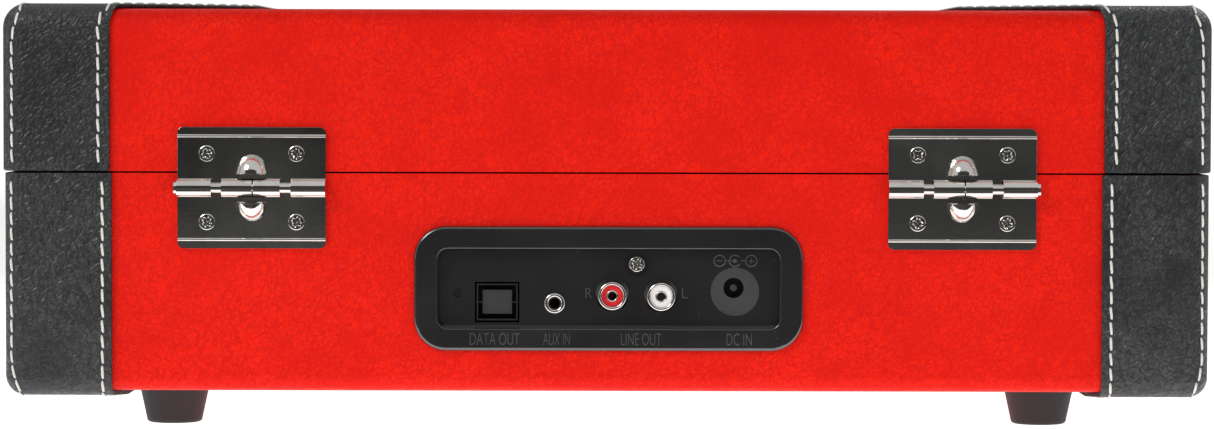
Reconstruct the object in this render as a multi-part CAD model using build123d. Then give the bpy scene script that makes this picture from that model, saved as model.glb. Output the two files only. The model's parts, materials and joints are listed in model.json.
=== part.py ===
from build123d import *
from math import acos, cos, radians, sin
import os

# Suitcase record player, millimetres.
# +Z is up, the front with the handle and latches faces -Y, the hinges and jacks are at +Y.
# Everything is modelled about the middle of the case, and moved once, in save(), so that the
# origin is under the middle of the whole object's box, on the surface that the feet stand on.

# --- driving dimensions of the case ---------------------------------------------------------
CASE_W = 355.0            # over the leather end wraps
CASE_D = 266.7            # over the leather end wraps
WRAP_T = 1.5              # thickness of the leather end wraps
LID_WRAP_X = 145.5        # inner edge of a lid wrap on the front and rear faces
BASE_WRAP_X = 145.0       # the same on the base
PATCH_X = 107.0           # inner edge of a wrap's patch on the lid top
FOLD_X = 141.0            # inner edge of a wrap on the underside
WRAP_TURN = 3.5           # from a face to where a wrap's edge turns diagonal
SKIN_T = 0.6              # thickness of the red covering
WALL_T = 8.4              # fibreboard walls
PANEL_T = 5.0             # fibreboard floor and lid top
BASE_INSET = 0.7          # the base is narrower than the lid on each side
FLOOR_Z = 11.5            # underside of the base
SEAM_Z = 75.8             # parting line between base and lid
SEAM_GAP = 0.5
TOP_Z = 123.7             # top of the lid
LID_R = 5.5               # edge rounding of the lid
BASE_R = 4.5              # edge rounding of the base
LINING_T = 0.8

FACE_Y = CASE_D / 2 - WRAP_T          # front and rear faces
LID_HALF_W = CASE_W / 2 - WRAP_T
BASE_HALF_W = LID_HALF_W - BASE_INSET
BASE_TOP_Z = SEAM_Z - SEAM_GAP / 2
LID_BOTTOM_Z = SEAM_Z + SEAM_GAP / 2
CORE_Y = FACE_Y - SKIN_T
INNER_Y = CORE_Y - WALL_T
BASE_INNER_X = BASE_HALF_W - SKIN_T - WALL_T
LID_INNER_X = LID_HALF_W - SKIN_T - WALL_T
FLOOR_TOP_Z = FLOOR_Z + SKIN_T + PANEL_T
CEILING_Z = TOP_Z - SKIN_T - PANEL_T

# --- feet -----------------------------------------------------------------------------------
FOOT_X = 130.0
FOOT_Y = 100.0
FOOT_TOP_R = 10.6
FOOT_BOTTOM_R = 8.1
FOOT_PLACES = [(sx * FOOT_X, sy * FOOT_Y) for sx in (-1, 1) for sy in (-1, 1)]

# --- stop hinges ----------------------------------------------------------------------------
HINGE_X = 104.0
HINGE_W = 43.4
LEAF_T = 1.2
LEAF_REACH = 17.75        # from the hinge axis to the leaf's far edge
BARREL_R = 2.8
PIN_R = 1.5
FIT = 0.05                # radial clearance of every running fit
HINGE_Y = FACE_Y + BARREL_R
HINGE_Z = SEAM_Z - 4.5
LEAF_NEAR = 2.6           # from the hinge axis to the leaf's near edge, behind the barrel
KNUCKLES = [("lid", 21.7, 11.6), ("base", 8.6, -0.3), ("lid", -0.7, -8.5), ("base", -11.7, -21.7)]
TONGUES = {"lid": [(11.6, 8.85), (-8.5, -11.45)], "base": [(11.35, 8.6), (-8.75, -11.7)]}
STOP_FLAT = 4.0           # distance of a stop dome's flat side from the axis
STOP_HALF_W = 4.9
STOP_HEIGHT = 5.8
STOP_PROUD = 3.15         # how far a dome stands out past the axis
HINGE_SCREW_X = 13.1
HINGE_SCREW_Z = 10.0

# --- jack panel -----------------------------------------------------------------------------
PANEL_X = -0.5
PANEL_Z = 41.9
PANEL_W = 114.1
PANEL_H = 36.6
PANEL_R = 9.5
PANEL_PROUD = 1.6
RECESS_W = 100.6
RECESS_H = 23.6
RECESS_R = 3.3
RECESS_DEPTH = 3.6
PANEL_FACE_Y = FACE_Y + PANEL_PROUD
RECESS_FLOOR_Y = PANEL_FACE_Y - RECESS_DEPTH
PANEL_BACK_Y = RECESS_FLOOR_Y - 2.0
BOARD_Y = 112.0
PHONO_RED = (-1.6, 39.9)
PHONO_WHITE = (-15.9, 39.7)
AUX = (15.3, 37.5)
DATA = (32.2, 37.8)
POWER = (-37.6, 41.0)
PANEL_SCREW = (-8.8, 49.0)
BLIND_HOLE = (43.7, 40.6)

# --- deck, platter and drive ----------------------------------------------------------------
DECK_Z = 73.5
DECK_T = 3.0
DECK_GAP = 0.2
PLATTER_X, PLATTER_Y = -50.0, 0.0
PLATTER_R = 97.5
PLATTER_TOP_Z = 81.5
MAT_T = 2.0
WELL_R = 100.5
WELL_Z = 66.0
SPINDLE_R = 3.55
HUB_R = 4.3               # the spindle's thicker part, held in the platter
SPINDLE_TOP_Z = 94.5
DRIVE_R = 47.5
PULLEY_R = 6.2
PULLEY_REACH = 80.0
PULLEY_ANGLE = -32.0
BELT_GAP = 0.3
BELT_T = 0.6
SPEAKER_R = 23.0
SPEAKER_X, SPEAKER_Y = 139.0, -96.0

# --- tonearm --------------------------------------------------------------------------------
ARM_X, ARM_Y = 100.0, 72.0
ARM_AXIS_Z = 92.0
ARM_TUBE_Z = 93.0
ARM_TUBE_R = 3.8
ARM_LENGTH = 177.0
STYLUS_Z = 85.0
REST_Y = -22.0
CUE_R = 28.0              # radius of the lift bar's arc about the arm's pivot
CUE_TOP_Z = ARM_TUBE_Z - ARM_TUBE_R - 0.3
CUE_POST = (119.0, 44.0)
CUE_LEVER_Y, CUE_LEVER_Z = 52.0, 79.0

# --- controls on the deck: x, y ---------------------------------------------------------------
VOLUME = (20.0, -105.0)
MODE = (52.0, -105.0)
LAMP = (76.0, -108.0)
PHONES = (-12.0, -112.0)
SPEED = (150.0, 88.0)
AUTO_STOP = (150.0, 58.0)
ADAPTER = (143.0, -8.0)
SPEED_TRAVEL = 14.0
AUTO_TRAVEL = 6.0

# --- front hardware -------------------------------------------------------------------------
LATCH_X = 104.0
LATCH_Z = 63.0            # lever pivot
LATCH_Y = -(FACE_Y + 4.15)
BAIL_Y = LATCH_Y - 0.6
BAIL_Z = 56.0
BAIL_LENGTH = 26.6
WIRE_R = 1.1
HANDLE_Z = 60.0
HANDLE_Y = -(FACE_Y + 8.5)
HANDLE_DROP = 34.0
HANDLE_HALF_W = 52.0
GRIP_T = 13.0

FRONT_REACH = -HANDLE_Y + GRIP_T / 2
REAR_REACH = HINGE_Y + STOP_PROUD
CASE_Y = (FRONT_REACH - REAR_REACH) / 2


def block(x0, x1, y0, y1, z0, z1):
    """A box between two corners."""
    middle = Pos((x0 + x1) / 2, (y0 + y1) / 2, (z0 + z1) / 2)
    return middle * Box(abs(x1 - x0), abs(y1 - y0), abs(z1 - z0))


def rod_x(radius, x0, x1, y, z):
    return Pos((x0 + x1) / 2, y, z) * Rot(0, 90, 0) * Cylinder(radius, abs(x1 - x0))


def rod_y(radius, x, y0, y1, z):
    return Pos(x, (y0 + y1) / 2, z) * Rot(90, 0, 0) * Cylinder(radius, abs(y1 - y0))


def rod_z(radius, x, y, z0, z1):
    return Pos(x, y, (z0 + z1) / 2) * Cylinder(radius, abs(z1 - z0))


def plate_y(sketch, x, z, y_outer, depth, taper=0):
    """A sketch drawn in X and Z, extruded from y_outer towards the front by depth."""
    return Pos(x, y_outer, z) * Rot(90, 0, 0) * extrude(sketch, depth, taper=taper)


def case_block(half_w, half_d, z0, z1, radius, rounded):
    """A box about the case's middle, rounded upright and along its top or its bottom."""
    body = block(-half_w, half_w, -half_d, half_d, z0, z1)
    faces = body.faces().sort_by(Axis.Z)
    end = faces[-1] if rounded == "top" else faces[0]
    return fillet(body.edges().filter_by(Axis.Z) + end.edges(), radius)


def cavity(half_w, half_d, z0, z1, radius=3.0):
    body = block(-half_w, half_w, -half_d, half_d, z0, z1)
    return fillet(body.edges().filter_by(Axis.Z), radius)


def both_sides(make):
    """The same shape made at +X and at -X, in one node."""
    return make(1) + make(-1)


# --- wood screws ----------------------------------------------------------------------------
def screw_shank(x, y, z, outward, length=7.0, radius=1.3):
    return rod_y(radius, x, y, y - outward * length, z)


def screw(x, y, z, outward, head_r=2.3, head_t=1.1):
    """An oval-head cross-recess screw whose head stands on y; outward is +1 or -1 along Y."""
    head = Pos(x, y, z) * Rot(-90 * outward, 0, 0) * Cone(head_r, head_r * 0.62, head_t,
                                                          align=(Align.CENTER, Align.CENTER, Align.MIN))
    top = y + outward * head_t
    slot = block(x - 1.5, x + 1.5, top - 0.7 * outward, top + outward, z - 0.35, z + 0.35)
    cross = block(x - 0.35, x + 0.35, top - 0.7 * outward, top + outward, z - 1.5, z + 1.5)
    return head + screw_shank(x, y, z, outward) - slot - cross


def hinge_screws(zone):
    """Positions of the screws of one leaf of each hinge."""
    side = 1 if zone == "lid" else -1
    z = HINGE_Z + side * HINGE_SCREW_Z
    return [(cx + dx, z) for cx in (-HINGE_X, HINGE_X) for dx in (-HINGE_SCREW_X, HINGE_SCREW_X)]


def screw_bores(zone):
    bores = [screw_shank(x, FACE_Y + LEAF_T, z, 1) for x, z in hinge_screws(zone)]
    return bores[0] + bores[1:]


# --- case: fibreboard, red covering and leather wraps ---------------------------------------
def wrap_region(side, face_x, patch_x, z0, z1):
    """The plan of a wrap, with diagonal corners, where it turns onto the lid top or the underside."""
    reach = CASE_D / 2 + 2
    turn_y = FACE_Y - WRAP_TURN
    far_y = turn_y - (face_x - patch_x)
    points = [
        (CASE_W / 2 + 2, reach),
        (face_x, reach),
        (face_x, turn_y),
        (patch_x, far_y),
        (patch_x, -far_y),
        (face_x, -turn_y),
        (face_x, -reach),
        (CASE_W / 2 + 2, -reach),
    ]
    outline = make_face(Polyline(*points, close=True))
    corners = outline.vertices().filter_by(lambda v: abs(v.X - patch_x) < 0.01)
    outline = fillet(corners, 12.0 if z1 > SEAM_Z else 2.0)
    region = Pos(0, 0, z0) * extrude(outline, z1 - z0)
    return region if side > 0 else mirror(region, about=Plane.YZ)


def wrap(zone, side):
    """One leather end wrap of the lid or of the base."""
    if zone == "lid":
        outer = case_block(CASE_W / 2, CASE_D / 2, LID_BOTTOM_Z, TOP_Z + WRAP_T, LID_R + WRAP_T, "top")
        inner = case_block(LID_HALF_W, FACE_Y, LID_BOTTOM_Z, TOP_Z, LID_R, "top")
        face_x = LID_WRAP_X
        fold = wrap_region(side, face_x, PATCH_X, TOP_Z - LID_R, TOP_Z + 2 * WRAP_T)
    else:
        outer = case_block(CASE_W / 2 - BASE_INSET, CASE_D / 2, FLOOR_Z - WRAP_T, BASE_TOP_Z,
                           BASE_R + WRAP_T, "bottom")
        inner = case_block(BASE_HALF_W, FACE_Y, FLOOR_Z, BASE_TOP_Z, BASE_R, "bottom")
        face_x = BASE_WRAP_X
        fold = wrap_region(side, face_x, FOLD_X, FLOOR_Z - 2 * WRAP_T, FLOOR_Z + BASE_R)
    band = block(side * face_x, side * CASE_W, -CASE_D, CASE_D, 0, 2 * TOP_Z)
    return (outer - inner) & (band + fold)


def base_case():
    skin_out = case_block(BASE_HALF_W, FACE_Y, FLOOR_Z, BASE_TOP_Z, BASE_R, "bottom")
    core = case_block(BASE_HALF_W - SKIN_T, CORE_Y, FLOOR_Z + SKIN_T, BASE_TOP_Z, BASE_R - SKIN_T, "bottom")
    hollow = cavity(BASE_INNER_X, INNER_Y, FLOOR_TOP_Z, BASE_TOP_Z)
    opening = plate_y(RectangleRounded(RECESS_W + 6, RECESS_H + 6, 5), PANEL_X, PANEL_Z, FACE_Y, 20)
    floor_zone = block(-CASE_W, CASE_W, -CASE_D, CASE_D, 0, FLOOR_TOP_Z)
    panel_bore = screw_shank(PANEL_SCREW[0], RECESS_FLOOR_Y, PANEL_SCREW[1], 1)
    walls = core - floor_zone - hollow - opening - screw_bores("base") - panel_bore
    floor = core & floor_zone
    vinyl = skin_out - core - opening - screw_bores("base")
    for x, y in FOOT_PLACES:
        floor = floor - foot_bore(x, y)
        vinyl = vinyl - foot_bore(x, y)
    return {
        "base_walls": walls,
        "base_floor": floor,
        "base_vinyl": vinyl,
        "base_wraps": both_sides(lambda side: wrap("base", side)),
    }


def lid_case():
    skin_out = case_block(LID_HALF_W, FACE_Y, LID_BOTTOM_Z, TOP_Z, LID_R, "top")
    core = case_block(LID_HALF_W - SKIN_T, CORE_Y, LID_BOTTOM_Z, TOP_Z - SKIN_T, LID_R - SKIN_T, "top")
    hollow = cavity(LID_INNER_X, INNER_Y, LID_BOTTOM_Z, CEILING_Z)
    top_zone = block(-CASE_W, CASE_W, -CASE_D, CASE_D, CEILING_Z, TOP_Z + 10)
    lining_in = cavity(LID_INNER_X - LINING_T, INNER_Y - LINING_T, 0, CEILING_Z - LINING_T, 2.2)
    lining_out = cavity(LID_INNER_X, INNER_Y, LID_BOTTOM_Z + 1.5, CEILING_Z)
    return {
        "lid_walls": core - top_zone - hollow - screw_bores("lid"),
        "lid_top": core & top_zone,
        "lid_vinyl": skin_out - core - screw_bores("lid"),
        "lid_lining": lining_out - lining_in,
        "lid_wraps": both_sides(lambda side: wrap("lid", side)),
    }


# --- feet -----------------------------------------------------------------------------------
def foot_bore(x, y):
    return rod_z(1.5, x, y, FLOOR_Z - 6, FLOOR_TOP_Z - 1)


def foot(x, y):
    """A rubber foot, hollowed from below for its screw."""
    body = Pos(x, y, FLOOR_Z / 2) * Cone(FOOT_BOTTOM_R, FOOT_TOP_R, FLOOR_Z)
    body = fillet(body.edges().filter_by(GeomType.CIRCLE).sort_by(Axis.Z)[0], 1.2)
    return body - rod_z(4.0, x, y, 0, 6.0) - foot_bore(x, y)


def foot_screw(x, y):
    return rod_z(3.2, x, y, 4.0, 6.0) + rod_z(1.5, x, y, 6.0, FLOOR_TOP_Z - 1)


# --- hinges ---------------------------------------------------------------------------------
def leaf(zone, centre):
    """One leaf of a stop hinge: plate, its two knuckles and the half-moon stop dome."""
    side = 1 if zone == "lid" else -1
    z_near = HINGE_Z + side * LEAF_NEAR
    z_far = HINGE_Z + side * LEAF_REACH
    plate = block(centre - HINGE_W / 2, centre + HINGE_W / 2, FACE_Y, FACE_Y + LEAF_T, z_near, z_far)
    plate = fillet(plate.edges().filter_by(Axis.Y).sort_by(lambda e: -side * e.center().Z)[:2], 1.8)
    for owner, x0, x1 in KNUCKLES:
        if owner == zone:
            barrel = rod_x(BARREL_R, centre + x0, centre + x1, HINGE_Y, HINGE_Z)
            web = block(centre + x0, centre + x1, FACE_Y, FACE_Y + LEAF_T, HINGE_Z, z_near)
            plate = plate + barrel + web
    for x0, x1 in TONGUES[zone]:
        tongue_z = HINGE_Z + side * 0.25
        plate = plate + block(centre + x0, centre + x1, FACE_Y, FACE_Y + LEAF_T, tongue_z, z_near)
    dome = scale(Sphere(1), by=(STOP_HALF_W, BARREL_R + STOP_PROUD, STOP_HEIGHT))
    dome = Pos(centre, FACE_Y, HINGE_Z + side * STOP_FLAT) * dome
    keep = block(centre - 10, centre + 10, FACE_Y, FACE_Y + 10, HINGE_Z + side * STOP_FLAT,
                 HINGE_Z + side * 15)
    bead = edge_bead(centre, z_far, side)
    bore = rod_x(PIN_R + FIT, centre - 30, centre + 30, HINGE_Y, HINGE_Z)
    return plate + (dome & keep) + bead - bore - screw_bores(zone)


def edge_bead(centre, z_far, side):
    """The pressed bead along a leaf's far edge."""
    z = z_far - side * 2.6
    return rod_x(0.45, centre - HINGE_W / 2 + 0.05, centre + HINGE_W / 2 - 0.05, FACE_Y + LEAF_T, z)


def hinges():
    screws = {}
    for zone in ("lid", "base"):
        screws[zone] = [screw(x, FACE_Y + LEAF_T, z, 1) for x, z in hinge_screws(zone)]
    pins = []
    for centre in (-HINGE_X, HINGE_X):
        outboard = 1 if centre > 0 else -1
        shaft = rod_x(PIN_R, centre - HINGE_W / 2, centre + HINGE_W / 2, HINGE_Y, HINGE_Z)
        edge = centre + outboard * HINGE_W / 2
        pins.append(shaft + rod_x(2.1, edge, edge + outboard * 0.9, HINGE_Y, HINGE_Z))
    base_screws = screws["base"] + [foot_screw(x, y) for x, y in FOOT_PLACES]
    return {
        "hinge_leaves_lid": leaf("lid", -HINGE_X) + leaf("lid", HINGE_X),
        "hinge_leaves_base": leaf("base", -HINGE_X) + leaf("base", HINGE_X),
        "hinge_pins": pins[0] + pins[1],
        "lid_screws": screws["lid"][0] + screws["lid"][1:],
        "base_screws": panel_screw() + base_screws,
    }


# --- jack panel -----------------------------------------------------------------------------
def on_recess_mouth(point):
    """Whether a point is on the recess's outline in the panel's face."""
    level = abs(point.Y - PANEL_FACE_Y) < 0.01
    across = abs(point.X - PANEL_X) < RECESS_W / 2 + 0.1
    return level and across and abs(point.Z - PANEL_Z) < RECESS_H / 2 + 0.1


def jack_panel():
    flange = plate_y(RectangleRounded(PANEL_W, PANEL_H, PANEL_R), PANEL_X, PANEL_Z, PANEL_FACE_Y,
                     PANEL_PROUD)
    rim = flange.faces().sort_by(Axis.Y)[-1].edges()
    flange = fillet(rim, 1.1)
    box = plate_y(RectangleRounded(RECESS_W + 4, RECESS_H + 4, RECESS_R + 1), PANEL_X, PANEL_Z, FACE_Y,
                  FACE_Y - PANEL_BACK_Y)
    recess = plate_y(RectangleRounded(RECESS_W, RECESS_H, RECESS_R), PANEL_X, PANEL_Z, PANEL_FACE_Y,
                     RECESS_DEPTH, taper=14)
    body = flange + box - recess
    body = fillet([edge for edge in body.edges() if on_recess_mouth(edge.center())], 0.4)
    for (x, z), radius in ((PHONO_RED, 4.95), (PHONO_WHITE, 4.95), (AUX, 3.1), (POWER, 7.1)):
        body = body - rod_y(radius, x, PANEL_BACK_Y - 1, PANEL_FACE_Y, z)
    body = body - block(DATA[0] - 6.55, DATA[0] + 6.55, PANEL_BACK_Y - 1, PANEL_FACE_Y, DATA[1] - 5.95,
                        DATA[1] + 5.95)
    body = body - rod_y(1.5, BLIND_HOLE[0], RECESS_FLOOR_Y - 1.2, PANEL_FACE_Y, BLIND_HOLE[1])
    boss = rod_y(4.4, PANEL_SCREW[0], PANEL_BACK_Y, RECESS_FLOOR_Y, PANEL_SCREW[1])
    counterbore = rod_y(3.5, PANEL_SCREW[0], RECESS_FLOOR_Y - 0.9, PANEL_FACE_Y, PANEL_SCREW[1])
    bore = screw_shank(PANEL_SCREW[0], RECESS_FLOOR_Y, PANEL_SCREW[1], 1)
    return body + boss - counterbore - bore


def phono_socket(place):
    """Metal shell of a phono socket with its foot on the board."""
    x, z = place
    shell = rod_y(4.1, x, BOARD_Y + 8, PANEL_FACE_Y + 1.4, z)
    foot = block(x - 5.5, x + 5.5, BOARD_Y, BOARD_Y + 8, z - 6, z + 6)
    return shell + foot - rod_y(3.15, x, BOARD_Y + 1, PANEL_FACE_Y + 2, z)


def phono_insulator(place):
    x, z = place
    plug = rod_y(3.15, x, BOARD_Y + 1, PANEL_FACE_Y + 0.6, z)
    return plug - rod_y(1.65, x, PANEL_FACE_Y - 11, PANEL_FACE_Y + 1, z)


def jacks():
    ax, az = AUX
    aux = rod_y(3.1, ax, BOARD_Y + 8, RECESS_FLOOR_Y + 1.0, az)
    aux = aux + block(ax - 4, ax + 4, BOARD_Y, BOARD_Y + 8, az - 4, az + 4)
    aux = aux - rod_y(1.8, ax, RECESS_FLOOR_Y - 13, RECESS_FLOOR_Y + 1, az)
    px, pz = POWER
    power = rod_y(7.1, px, BOARD_Y + 2, RECESS_FLOOR_Y, pz)
    power = power + block(px - 6, px + 6, BOARD_Y, BOARD_Y + 2, pz - 6, pz + 6)
    power = power - rod_y(3.0, px + 0.4, RECESS_FLOOR_Y - 9, RECESS_FLOOR_Y, pz + 1.1)
    dx, dz = DATA
    shell = block(dx - 6.0, dx + 6.0, BOARD_Y, RECESS_FLOOR_Y - 0.6, dz - 5.4, dz + 5.4)
    hollow = block(dx - 5.6, dx + 5.6, RECESS_FLOOR_Y - 9, RECESS_FLOOR_Y, dz - 5.0, dz + 5.0)
    tongue = block(dx - 4.3, dx + 4.3, RECESS_FLOOR_Y - 9, RECESS_FLOOR_Y - 2.2, dz - 3.5, dz + 3.5)
    board = block(PANEL_X - 50, PANEL_X + 50, BOARD_Y - 1.6, BOARD_Y, PANEL_Z - 22, PANEL_Z + 14)
    legs = both_sides(lambda s: block(PANEL_X + s * 46, PANEL_X + s * 49, BOARD_Y - 12, BOARD_Y - 1.6,
                                      FLOOR_TOP_Z, FLOOR_TOP_Z + 14))
    return {
        "jack_panel": jack_panel(),
        "phono_shells": phono_socket(PHONO_RED) + phono_socket(PHONO_WHITE),
        "phono_insulator_red": phono_insulator(PHONO_RED),
        "phono_insulator_white": phono_insulator(PHONO_WHITE),
        "aux_socket": aux,
        "power_socket": power,
        "power_pin": rod_y(1.0, px + 0.4, RECESS_FLOOR_Y - 9, RECESS_FLOOR_Y - 1.5, pz + 1.1),
        "data_socket": shell - hollow,
        "data_tongue": tongue,
        "main_board": board + legs,
    }


def panel_screw():
    x, z = PANEL_SCREW
    y = RECESS_FLOOR_Y - 0.9
    head = rod_y(2.35, x, y, y + 1.3, z)
    top = y + 1.3
    slot = block(x - 1.5, x + 1.5, top - 0.8, top, z - 0.35, z + 0.35)
    cross = block(x - 0.35, x + 0.35, top - 0.8, top, z - 1.5, z + 1.5)
    return head + rod_y(1.3, x, RECESS_FLOOR_Y - 7, y, z) - slot - cross


# --- deck -----------------------------------------------------------------------------------
def grille(side):
    """Slots over one loudspeaker."""
    x = side * SPEAKER_X
    slots = []
    for i in range(-4, 5):
        offset = i * 4.4
        half = (19.5 ** 2 - offset ** 2) ** 0.5
        bar = Pos(x + offset, SPEAKER_Y, DECK_Z - DECK_T / 2) * SlotOverall(2 * half, 2.0, rotation=90)
        slots.append(extrude(bar, DECK_T, both=True))
    return slots[0] + slots[1:]


def pulley_place():
    a = radians(PULLEY_ANGLE)
    return PLATTER_X + PULLEY_REACH * cos(a), PLATTER_Y + PULLEY_REACH * sin(a)


def deck():
    bottom = DECK_Z - DECK_T
    half_w = BASE_INNER_X - DECK_GAP
    half_d = INNER_Y - DECK_GAP
    plate = cavity(half_w, half_d, bottom, DECK_Z)
    well = rod_z(WELL_R + 2.5, PLATTER_X, PLATTER_Y, WELL_Z - 2.5, DECK_Z)
    bearing = rod_z(8.0, PLATTER_X, PLATTER_Y, 46.0, WELL_Z)
    body = plate + well - rod_z(WELL_R, PLATTER_X, PLATTER_Y, WELL_Z, DECK_Z + 1) + bearing
    body = body - rod_z(SPINDLE_R - 0.6 + FIT, PLATTER_X, PLATTER_Y, 49.0, WELL_Z)
    mx, my = pulley_place()
    body = body - rod_z(4.0, mx, my, 60, 70)
    for sx in (-1, 1):
        for sy in (-1, 1):
            body = body + rod_z(4.0, sx * (half_w - 4.2), sy * (half_d - 4.2), FLOOR_TOP_Z, bottom)
    body = body - rod_z(4.5, ARM_X, ARM_Y, 60, 80)
    for x, y in (VOLUME, MODE):
        body = body - rod_z(3.3, x, y, 60, 80)
    body = body - rod_z(2.5, *LAMP, 60, 80) - rod_z(3.0, *PHONES, 60, 80)
    for (x, y), travel in ((SPEED, SPEED_TRAVEL), (AUTO_STOP, AUTO_TRAVEL)):
        body = body - block(x - 1.8, x + 1.8, y - 2.8, y + travel + 2.8, 60, 80)
    body = body + rod_z(3.6, *ADAPTER, DECK_Z, DECK_Z + 5.5)
    return body - grille(1) - grille(-1)


def sockets_and_lamp():
    """Headphone socket and power lamp, both upright in the deck."""
    x, y = PHONES
    phones = rod_z(3.0, x, y, 56, DECK_Z + 0.8) + rod_z(4.2, x, y, DECK_Z, DECK_Z + 0.8)
    phones = phones + block(x - 4, x + 4, y - 4, y + 4, 54, DECK_Z - DECK_T)
    phones = phones - rod_z(1.8, x, y, DECK_Z - 13, DECK_Z + 1)
    lx, ly = LAMP
    lamp = rod_z(2.5, lx, ly, DECK_Z - 6, DECK_Z)
    lens = Pos(lx, ly, DECK_Z) * Sphere(2.5)
    lamp = lamp + (lens & block(lx - 3, lx + 3, ly - 3, ly + 3, DECK_Z, DECK_Z + 3))
    return {"headphone_socket": phones, "power_lamp": lamp}


def speaker(side):
    x, y = side * SPEAKER_X, SPEAKER_Y
    top = DECK_Z - DECK_T
    frame = rod_z(SPEAKER_R, x, y, top - 2, top) - rod_z(SPEAKER_R - 3, x, y, top - 2, top)
    basket = Pos(x, y, top - 8) * Cone(12, SPEAKER_R - 1, 12)
    bowl = Pos(x, y, top - 5.5) * Cone(5, SPEAKER_R - 3, 9)
    cap = Pos(x, y, top - 10) * Sphere(5.5) & rod_z(8, x, y, top - 10, top)
    magnet = rod_z(14, x, y, top - 22, top - 14)
    return frame + (basket - bowl) + cap + magnet


# --- platter and drive ----------------------------------------------------------------------
def platter():
    x, y = PLATTER_X, PLATTER_Y
    disc = rod_z(PLATTER_R, x, y, WELL_Z + 2.6, PLATTER_TOP_Z)
    disc = fillet(disc.edges().filter_by(GeomType.CIRCLE).sort_by(Axis.Z)[-1], 1.2)
    under = rod_z(PLATTER_R - 3, x, y, WELL_Z, PLATTER_TOP_Z - 3)
    inner = rod_z(DRIVE_R - 3, x, y, WELL_Z, PLATTER_TOP_Z - 3)
    drive = rod_z(DRIVE_R, x, y, WELL_Z + 4, PLATTER_TOP_Z - 3) - inner
    hub = rod_z(12, x, y, WELL_Z + 2.6, PLATTER_TOP_Z - 3)
    return disc - under + drive + hub - rod_z(HUB_R, x, y, 60, 90)


def spindle():
    x, y = PLATTER_X, PLATTER_Y
    held = rod_z(HUB_R, x, y, WELL_Z + 2.6, PLATTER_TOP_Z)
    record_pin = rod_z(SPINDLE_R, x, y, PLATTER_TOP_Z, SPINDLE_TOP_Z - 2.0)
    tip = Pos(x, y, SPINDLE_TOP_Z - 1.0) * Cone(SPINDLE_R, 2.0, 2.0)
    shaft = rod_z(SPINDLE_R - 0.6, x, y, 50.0, WELL_Z + 2.6)
    return held + record_pin + tip + shaft


def mat():
    x, y = PLATTER_X, PLATTER_Y
    body = rod_z(PLATTER_R - 1.8, x, y, PLATTER_TOP_Z, PLATTER_TOP_Z + MAT_T)
    return body - rod_z(HUB_R + 0.5, x, y, 60, 100)


def motor():
    mx, my = pulley_place()
    top = WELL_Z - 2.5
    can = rod_z(16, mx, my, top - 22, top)
    can = fillet(can.edges().filter_by(GeomType.CIRCLE).sort_by(Axis.Z)[0], 2.0)
    return can - rod_z(1.0 + FIT, mx, my, top - 16, top + 1)


def pulley():
    mx, my = pulley_place()
    wheel = rod_z(PULLEY_R, mx, my, 71.0, 76.5)
    flanges = rod_z(PULLEY_R + 0.9, mx, my, 70.2, 71.0) + rod_z(PULLEY_R + 0.9, mx, my, 76.5, 77.3)
    return wheel + flanges + rod_z(1.0, mx, my, 49.0, 71.0)


def loop(radius_a, radius_b):
    """The area inside a band round the platter's drive rim and the motor pulley."""
    mx, my = pulley_place()
    a = radians(PULLEY_ANGLE)
    t = acos((radius_a - radius_b) / PULLEY_REACH)
    corners = [
        (PLATTER_X + radius_a * cos(a + t), PLATTER_Y + radius_a * sin(a + t)),
        (mx + radius_b * cos(a + t), my + radius_b * sin(a + t)),
        (mx + radius_b * cos(a - t), my + radius_b * sin(a - t)),
        (PLATTER_X + radius_a * cos(a - t), PLATTER_Y + radius_a * sin(a - t)),
    ]
    discs = Pos(PLATTER_X, PLATTER_Y) * Circle(radius_a) + Pos(mx, my) * Circle(radius_b)
    return discs + make_face(Polyline(*corners, close=True))


def belt():
    inner = loop(DRIVE_R + BELT_GAP, PULLEY_R + BELT_GAP)
    outer = loop(DRIVE_R + BELT_GAP + BELT_T, PULLEY_R + BELT_GAP + BELT_T)
    return Pos(0, 0, 71.6) * extrude(outer - inner, 4.3)


# --- tonearm --------------------------------------------------------------------------------
def tonearm_base():
    base = rod_z(15, ARM_X, ARM_Y, DECK_Z, 79.0)
    base = chamfer(base.edges().filter_by(GeomType.CIRCLE).sort_by(Axis.Z)[-1], 1.5)
    return base - rod_z(4.0 + FIT, ARM_X, ARM_Y, 60, 90)


def tonearm_yoke():
    disc = rod_z(12, ARM_X, ARM_Y, 79.4, 82.4)
    cheeks = []
    for side in (-1, 1):
        cheek = block(ARM_X + side * 9, ARM_X + side * 12, ARM_Y - 6, ARM_Y + 6, 80, ARM_AXIS_Z + 5)
        top = cheek.edges().filter_by(Axis.X).sort_by(Axis.Z)[-2:]
        cheeks.append(fillet(top, 4.5))
    body = disc + cheeks + rod_z(4.0, ARM_X, ARM_Y, 66, 80)
    return body - rod_x(1.5 + FIT, ARM_X - 15, ARM_X + 15, ARM_Y, ARM_AXIS_Z)


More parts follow.
